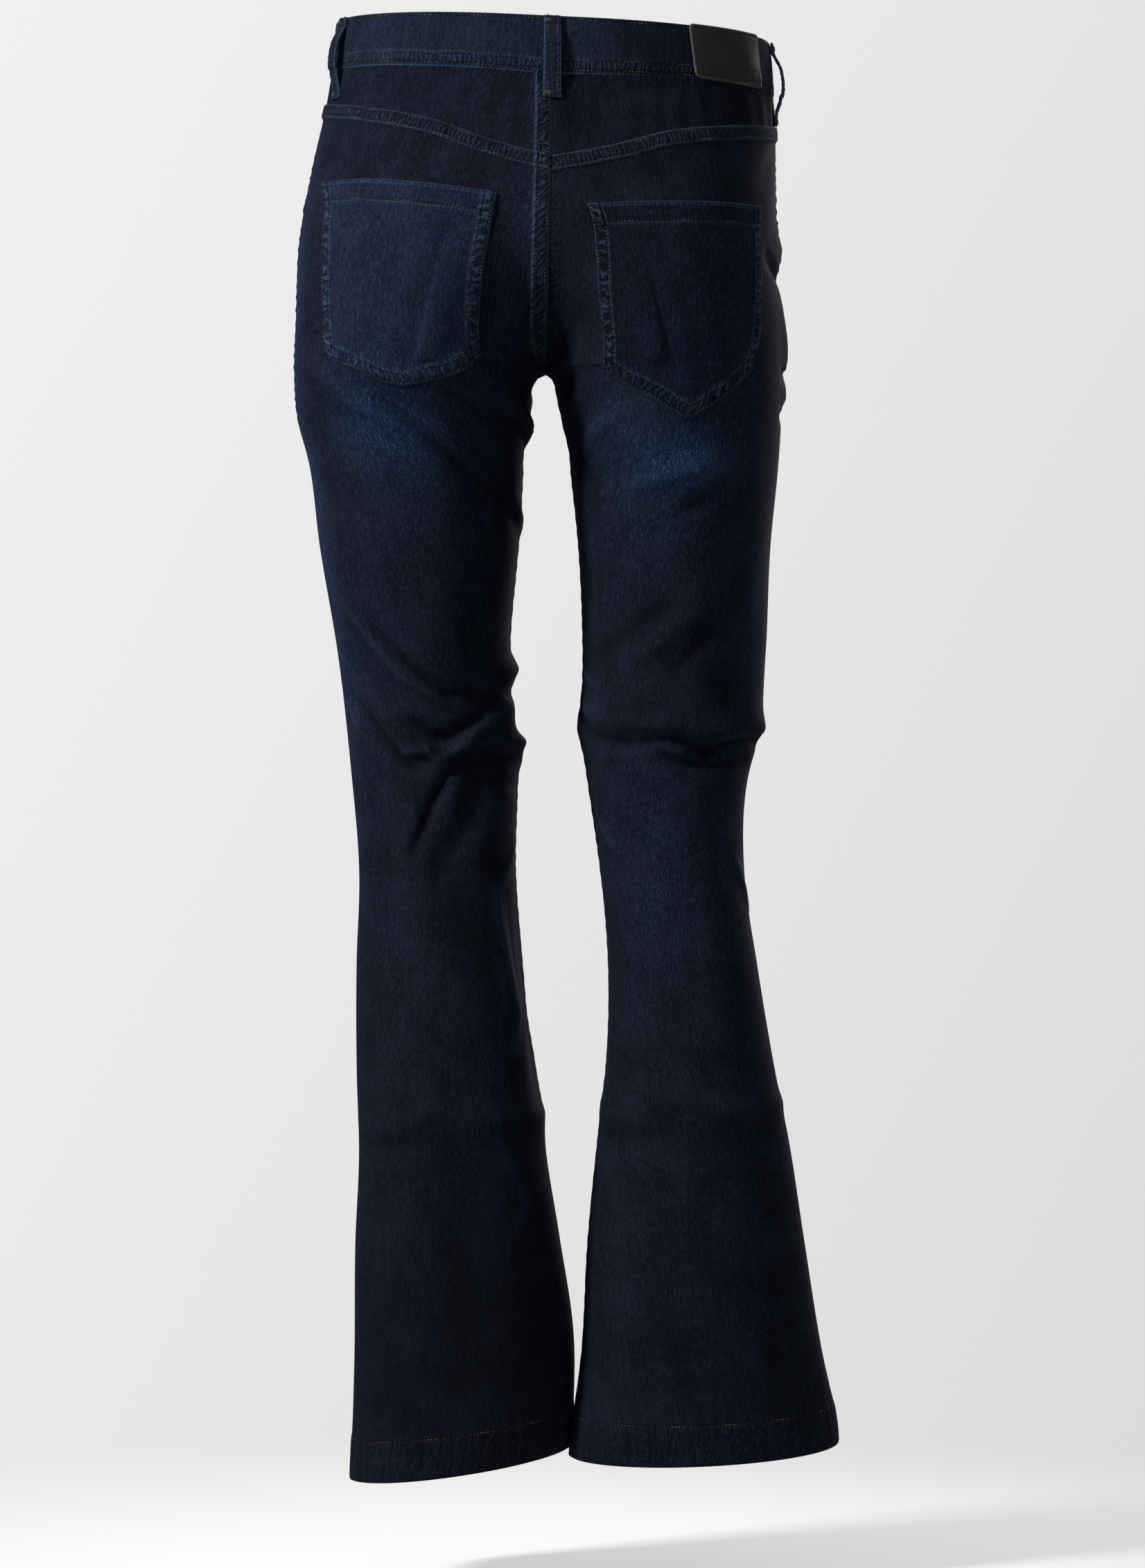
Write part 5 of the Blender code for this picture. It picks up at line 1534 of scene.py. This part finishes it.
patchAcross = crowd(patchCut["edgeSteps"], 44, patchCut["edgeSteps"], patchCut["width"]) / patchCut["width"]
patchDown = crowd(patchCut["edgeSteps"], 26, patchCut["edgeSteps"], patchCut["height"]) / patchCut["height"]
patch = clothPiece(
    "patch.leather", "patch", makeLeather(), patchAcross, patchDown, patchShape, patchCut["wall"],
)
print("soft pieces made")

# stitching


# Waxed thread, brown with some tan, its tone changing from stitch to stitch.
def makeThread():
    material, tree, shader = newMaterial("thread", {"Specular IOR Level": 0.3})
    fibre = stretchedNoise(tree, objectPlace(tree), (2600, 2600, 2600), 2.0, 0.6)
    ramp = addNode(tree, "ShaderNodeValToRGB", {"Fac": attributeNode(tree, "tone")})
    tones = ramp.color_ramp.elements
    tones[0].color = (0.015, 0.013, 0.012, 1)
    tones[1].color = (0.120, 0.098, 0.072, 1)
    tones.new(0.5).color = (0.040, 0.033, 0.028, 1)
    linkTo(tree, shader, {
        "Base Color": ramp.outputs["Color"], "Roughness": rangeNode(tree, fibre, 0.3, 0.7, 0.55, 0.8),
        "Normal": bumpNode(tree, fibre, 0.3, 0.0002),
    })
    return material


thread = makeThread()
stitchCut = {"length": 0.00205, "width": 0.00090, "height": 0.00062, "pitch": 0.0026, "above": 0.0001}


# Stitches at an even pitch along a line of points, each a small drawn-out ball.
def sewAlong(mesh, points, normals, pitch=stitchCut["pitch"], length=stitchCut["length"], width=stitchCut["width"]):
    run = runAlong(points)
    count = max(int(run[-1] / pitch), 1)
    size = (length / 2, width / 2, stitchCut["height"] / 2)
    tones = []
    for k in range(count):
        at = (k + 0.5 + 0.10 * math.sin(k * 2.7)) * run[-1] / count
        spot, ahead, behind = [Vector(placesOn(points, run, at + step)) for step in (0.0, 0.0012, -0.0012)]
        up = Vector(placesOn(normals, run, at)).normalized()
        way = ahead - behind
        way = (way - up * way.dot(up)).normalized()
        side = up.cross(way)
        tilt = 0.10 * math.sin(k * 1.9)
        way, side = way * math.cos(tilt) + side * math.sin(tilt), side * math.cos(tilt) - way * math.sin(tilt)
        turn = Matrix((way, side, up)).transposed().to_4x4()
        place = Matrix.Translation(spot) @ turn @ Matrix.Diagonal((*size, 1.0))
        bmesh.ops.create_icosphere(mesh, subdivisions=1, radius=1.0, matrix=place)
        tones.append(0.5 + 0.5 * math.sin(k * 12.9898 + run[-1] * 900.0))
    return tones


# rows are (points, normals, settings) lists; all of them become one piece of thread.
def sewRows(name, rows):
    mesh = bmesh.new()
    tones = []
    for points, normals, settings in rows:
        tones += sewAlong(mesh, points, normals, **settings)
    data = meshFrom(name, mesh)
    attribute = data.attributes.new("tone", "FLOAT", "POINT")
    values = np.repeat(np.array(tones, dtype=np.float32) ** 2, len(data.vertices) // len(tones))
    attribute.data.foreach_set("value", values)
    print(name, len(tones), "stitches")
    addPiece(name, data, thread)


# A row on the surface that pointsAt gives for a distance above the cloth.
def threadRow(pointsAt, above=stitchCut["above"], **settings):
    points = pointsAt(above)
    return points, pointsAt(above + 0.0010) - points, settings


# A row on a panel or yoke. out gives the surface's relief there.
def clothRow(leg, face, share, level, out=panelOut):
    lift = out(leg, face, share, level)
    return threadRow(lambda above: clothPoints(leg, face, share, level, lift + above))


def topRow(leg, face, away, start=0.004, end=0.996):
    share = np.linspace(start, end, 150)
    lean = 1 / np.sqrt(1 + topSlope(face, share) ** 2)
    return clothRow(leg, face, share, panelTop(face, share) - away / lean)


def innerRow(leg, face, away, high, low, out=panelOut):
    level = np.linspace(high, low, 120)
    return clothRow(leg, face, 1 - away / girthAt(leg, face, level), level, out)


bandPlaces = np.linspace(0.16, 4.095, 1023)
bandLevels = [-band["rowTop"] + 0 * bandPlaces]
bandLevels += [bandFoot(bandPlaces) + band[row] for row in ("rowNear", "rowFar")]
sewRows("thread.waistband", [
    threadRow(lambda above: bandPoints(bandPlaces, level, above)) for level in bandLevels
])
for leg in ("left", "right"):
    rows = [topRow(leg, "back", away) for away in rowPair]
    rows += [topRow(leg, "front", away, 0.006, end) for away, end in zip(rowPair, (0.455, 0.44))]
    if leg == "left":
        for away in rowPair:
            rows.append(innerRow(leg, "back", away, yokeLevel(1.0) - 0.003, form["crotch"] + 0.004))
            rows.append(innerRow(leg, "back", away, yokeTop(1.0) - 0.001, yokeLevel(1.0) + 0.006, yokeOut))
            rows.append(innerRow(leg, "front", away, -0.172, form["crotch"] + 0.004))
    for face in ("back", "front"):
        share = np.linspace(0.004, 0.996, 90)
        rows.append(clothRow(leg, face, share, 0 * share + form["hem"][leg] + sewing["hemRow"]))
    sewRows("thread.panels." + leg, rows)


def pocketRow(leg, line, **settings):
    return threadRow(lambda above: pocketPoints(leg, line[:, 0], line[:, 1], above), **settings)


# A line at a distance inside some of a pocket's edges, shortened at both ends.
def drawnIn(leg, edges, away, ends=(0.0, 0.0)):
    lines = pocketLines[leg]
    line = np.concatenate([lines[edge][::step] for edge, step in edges])
    line = line[np.concatenate([[True], np.linalg.norm(np.diff(line, axis=0), axis=1) > 1e-6])]
    way = np.gradient(line, axis=0)
    way /= np.linalg.norm(way, axis=1, keepdims=True)
    inward = np.stack([-way[:, 1], way[:, 0]], axis=1)
    middle = np.mean(lines["top"], axis=0) - np.array([0.0, 0.06])
    if np.sum((middle - line) * inward) < 0:
        inward = -inward
    moved = line + inward * away
    close = np.min([awayFrom(moved[:, 0], moved[:, 1], lines[edge]) for edge, _ in edges], axis=0)
    moved = moved[close > away * 0.93]
    across, level = moved.T
    outer, inner = lines["outer"], lines["inner"]
    inside = across > np.interp(level, outer[::-1, 1], outer[::-1, 0]) + 0.0012
    moved = moved[inside & (across < np.interp(level, inner[::-1, 1], inner[::-1, 0]) - 0.0012)]
    run = runAlong(moved)
    return placesOn(moved, run, np.linspace(ends[0], run[-1] - ends[1], 300))


for leg in ("left", "right"):
    around = (("outer", 1), ("foot", 1), ("inner", -1))
    rows = [pocketRow(leg, drawnIn(leg, around, pocketCut["rowNear"]))]
    rows.append(pocketRow(leg, drawnIn(leg, around, pocketCut["rowFar"], (0.0165, 0.0165))))
    rows.append(pocketRow(leg, drawnIn(leg, (("top", 1),), pocketCut["bandRow"], (0.0025, 0.0025))))
    for edge in ("outer", "inner"):
        tack = drawnIn(leg, ((edge, 1),), 0.0062)
        reach = np.linalg.norm(tack - tack[0], axis=1)
        rows.append(pocketRow(leg, tack[(reach > 0.0034) & (reach < 0.0150)]))
        rows.append(pocketRow(leg, tack[(reach > 0.0034) & (reach < 0.0090)], pitch=0.0009, length=0.0018))
    sewRows("thread.pocket." + leg, rows)


def loopRow(name, across, down, above=stitchCut["above"], **settings):
    return threadRow(lambda out: loopPoints(name, across, down, out)[0], above, **settings)


rows = []
for name in loops:
    for side in (-1, 1):
        down = np.linspace(0.095, 0.885, 120)
        rows.append(loopRow(name, 0 * down + side * (1 - loopCut["row"] / loopCut["half"]), down))
    across = np.linspace(-0.86, 0.86, 40)
    for at in (0.165, 0.845):
        for step in (-0.010, 0.0, 0.010):
            rows.append(loopRow(name, across, 0 * across + at + step, 0.0002, pitch=0.0008, length=0.0014))
sewRows("thread.loops", rows)

inset = patchCut["row"] / np.array([patchCut["width"], patchCut["height"]])
frameLine = np.array([(0, 0), (1, 0), (1, 1), (0, 1), (0, 0)]) * (1 - 2 * inset) + inset
rows = []
for start, end in zip(frameLine[:-1], frameLine[1:]):
    across, down = (start + (end - start) * np.linspace(0, 1, 60)[:, None]).T
    rows.append(threadRow(lambda above: patchPoints(across, down, above), pitch=0.0034))
sewRows("thread.patch", rows)

# the fly's curved rows, on the left front
flyCut = {"width": 0.036, "foot": -0.156, "top": -0.0395, "apart": 0.006}
rows = []
for inside in (0.0, flyCut["apart"]):
    wide = flyCut["width"] - inside
    turn = np.linspace(0, math.pi / 2, 40)
    away = np.concatenate([np.full(60, wide), wide * np.cos(turn)[1:] + 0.0004])
    high = flyCut["foot"] + wide + inside
    level = np.concatenate([np.linspace(flyCut["top"], high, 60), high - wide * np.sin(turn)[1:]])
    rows.append(clothRow("left", "front", 1 - away / girthAt("left", "front", level), level))
sewRows("thread.fly", rows)

# waist button and its hole
buttonCut = {
    "distance": 3.95, "level": -0.019, "radius": 0.0085, "height": 0.0042,
    # shares of the radius and the height
    "outline": (
        (0.0, 0.86), (0.18, 0.85), (0.32, 0.80), (0.42, 0.70), (0.50, 0.66), (0.64, 0.68), (0.70, 0.78),
        (0.78, 0.94), (0.86, 1.0), (0.94, 0.97), (0.99, 0.86), (1.0, 0.74), (0.97, 0.62), (0.88, 0.54),
        (0.60, 0.46), (0.42, 0.40), (0.38, 0.0), (0.0, 0.0),
    ),
}
holeCut = {"past": 0.018, "reach": 0.0115, "rise": 0.0021}


def makeMetal():
    material, tree, shader = newMaterial("agedMetal", {"Metallic": 1.0})
    stains = stretchedNoise(tree, objectPlace(tree), (420, 420, 420), 3.0, 0.6)
    tone = mixNode(tree, rangeNode(tree, stains, 0.35, 0.65), (0.30, 0.19, 0.10, 1), (0.14, 0.085, 0.05, 1))
    linkTo(tree, shader, {"Base Color": tone, "Roughness": rangeNode(tree, stains, 0.3, 0.7, 0.28, 0.48)})
    return material


# A shank button: a rolled rim round a dished middle with a low dome.
def makeButton():
    mesh = bmesh.new()
    radius, height = buttonCut["radius"], buttonCut["height"]
    line = [mesh.verts.new((r * radius, 0.0, h * height)) for r, h in buttonCut["outline"]]
    edges = [mesh.edges.new(pair) for pair in zip(line, line[1:])]
    turned = {"cent": (0, 0, 0), "axis": (0, 0, 1), "angle": 2 * math.pi, "steps": 56, "use_merge": True}
    bmesh.ops.spin(mesh, geom=line + edges, **turned)
    bmesh.ops.remove_doubles(mesh, verts=mesh.verts, dist=0.00002)
    bmesh.ops.recalc_face_normals(mesh, faces=mesh.faces)
    seat, above = [Vector(bandPoints(buttonCut["distance"], buttonCut["level"], out)[0]) for out in (0.0001, 0.0101)]
    turn = (above - seat).normalized().to_track_quat("Z", "Y").to_matrix().to_4x4()
    bmesh.ops.transform(mesh, matrix=Matrix.Translation(seat) @ turn, verts=mesh.verts)
    addPiece("waistButton", meshFrom("waistButton", mesh), makeMetal(), ["waist_button"])


makeButton()


def squared(value):
    return np.sign(value) * np.abs(value) ** 0.5


# the buttonhole's close stitches go round its slot
turn = np.linspace(0, 2 * math.pi, 200)
holeAlong = holeCut["reach"] * squared(np.cos(turn))
holeDistance = buttonCut["distance"] + holeCut["past"] + holeAlong / form["waistQuarter"]
holeLevel = buttonCut["level"] + holeCut["rise"] * squared(np.sin(turn))
sewRows("thread.buttonhole", [
    threadRow(lambda above: bandPoints(holeDistance, holeLevel, above), pitch=0.0008, length=0.0009, width=0.0018)
])
print("stitching and metal made")

# studio
stage = {"level": -1.112, "radius": 0.95, "tone": (0.80, 0.80, 0.80, 1)}
disc = bmesh.new()
middle = Matrix.Translation((-0.01, 0.0, stage["level"]))
bmesh.ops.create_circle(disc, cap_ends=True, radius=stage["radius"], segments=96, matrix=middle)
floor = newObject("floor", meshFrom("floor", disc))
floor.visible_diffuse = False       # it doesn't light the hems from below
floorMaterial, tree, shader = newMaterial("paleFloor", {
    "Base Color": stage["tone"], "Roughness": 0.9, "Emission Color": stage["tone"], "Emission Strength": 0.42,
    "Specular IOR Level": 0.1,
})
flat = addNode(tree, "ShaderNodeVectorMath", {0: objectPlace(tree), 1: (1, 1, 0)}, operation="MULTIPLY").outputs[0]
reach = addNode(tree, "ShaderNodeVectorMath", {0: flat}, operation="LENGTH").outputs["Value"]
linkTo(tree, shader, {"Alpha": rangeNode(tree, reach, 0.10, stage["radius"] * 0.95, 1.0, 0.0)})
floor.data.materials.append(floorMaterial)

world = bpy.data.worlds.new("studio")
world.use_nodes = True
scene.world = world
tree = world.node_tree
seen = tree.nodes["Background"]
generated = addNode(tree, "ShaderNodeTexCoord").outputs["Generated"]
way = addNode(tree, "ShaderNodeSeparateXYZ", {0: generated}).outputs
tilt = weighed(tree, (way["X"], 0.50), (way["Z"], 0.27))
shade = within(tree, plus(tree, tilt, 0.790), 0.68, 0.90)
linkTo(tree, seen, {"Color": addNode(tree, "ShaderNodeCombineColor", {0: shade, 1: shade, 2: shade}).outputs[0]})
lit = addNode(tree, "ShaderNodeBackground", {"Color": (0.80, 0.82, 0.86, 1), "Strength": 0.26})
fromCamera = addNode(tree, "ShaderNodeLightPath").outputs["Is Camera Ray"]
either = addNode(tree, "ShaderNodeMixShader", {0: fromCamera, 1: lit.outputs[0], 2: seen.outputs[0]})
linkTo(tree, tree.nodes["World Output"], {"Surface": either.outputs[0]})

# name: place, aim, size, power, tint
lamps = {
    "key": ((2.9, 1.9, 1.5), (0.0, 0.0, -0.35), 0.7, 138.0, (0.975, 0.985, 1.0)),
    "fill": ((-2.2, 3.2, 0.2), (0.0, 0.0, -0.5), 1.6, 8.0, (0.96, 0.98, 1.0)),
    "front": ((-1.6, -3.0, 1.0), (0.0, 0.0, -0.5), 1.8, 60.0, (1.0, 0.99, 0.97)),
}
for name, (spot, aim, size, power, tint) in lamps.items():
    light = bpy.data.lights.new(name, "AREA")
    light.size = size
    light.energy = power
    light.color = tint
    lamp = newObject(name, light)
    lamp.location = spot
    lamp.rotation_euler = (Vector(aim) - Vector(spot)).to_track_quat("-Z", "Y").to_euler()
print("studio made")

bpy.context.view_layer.update()
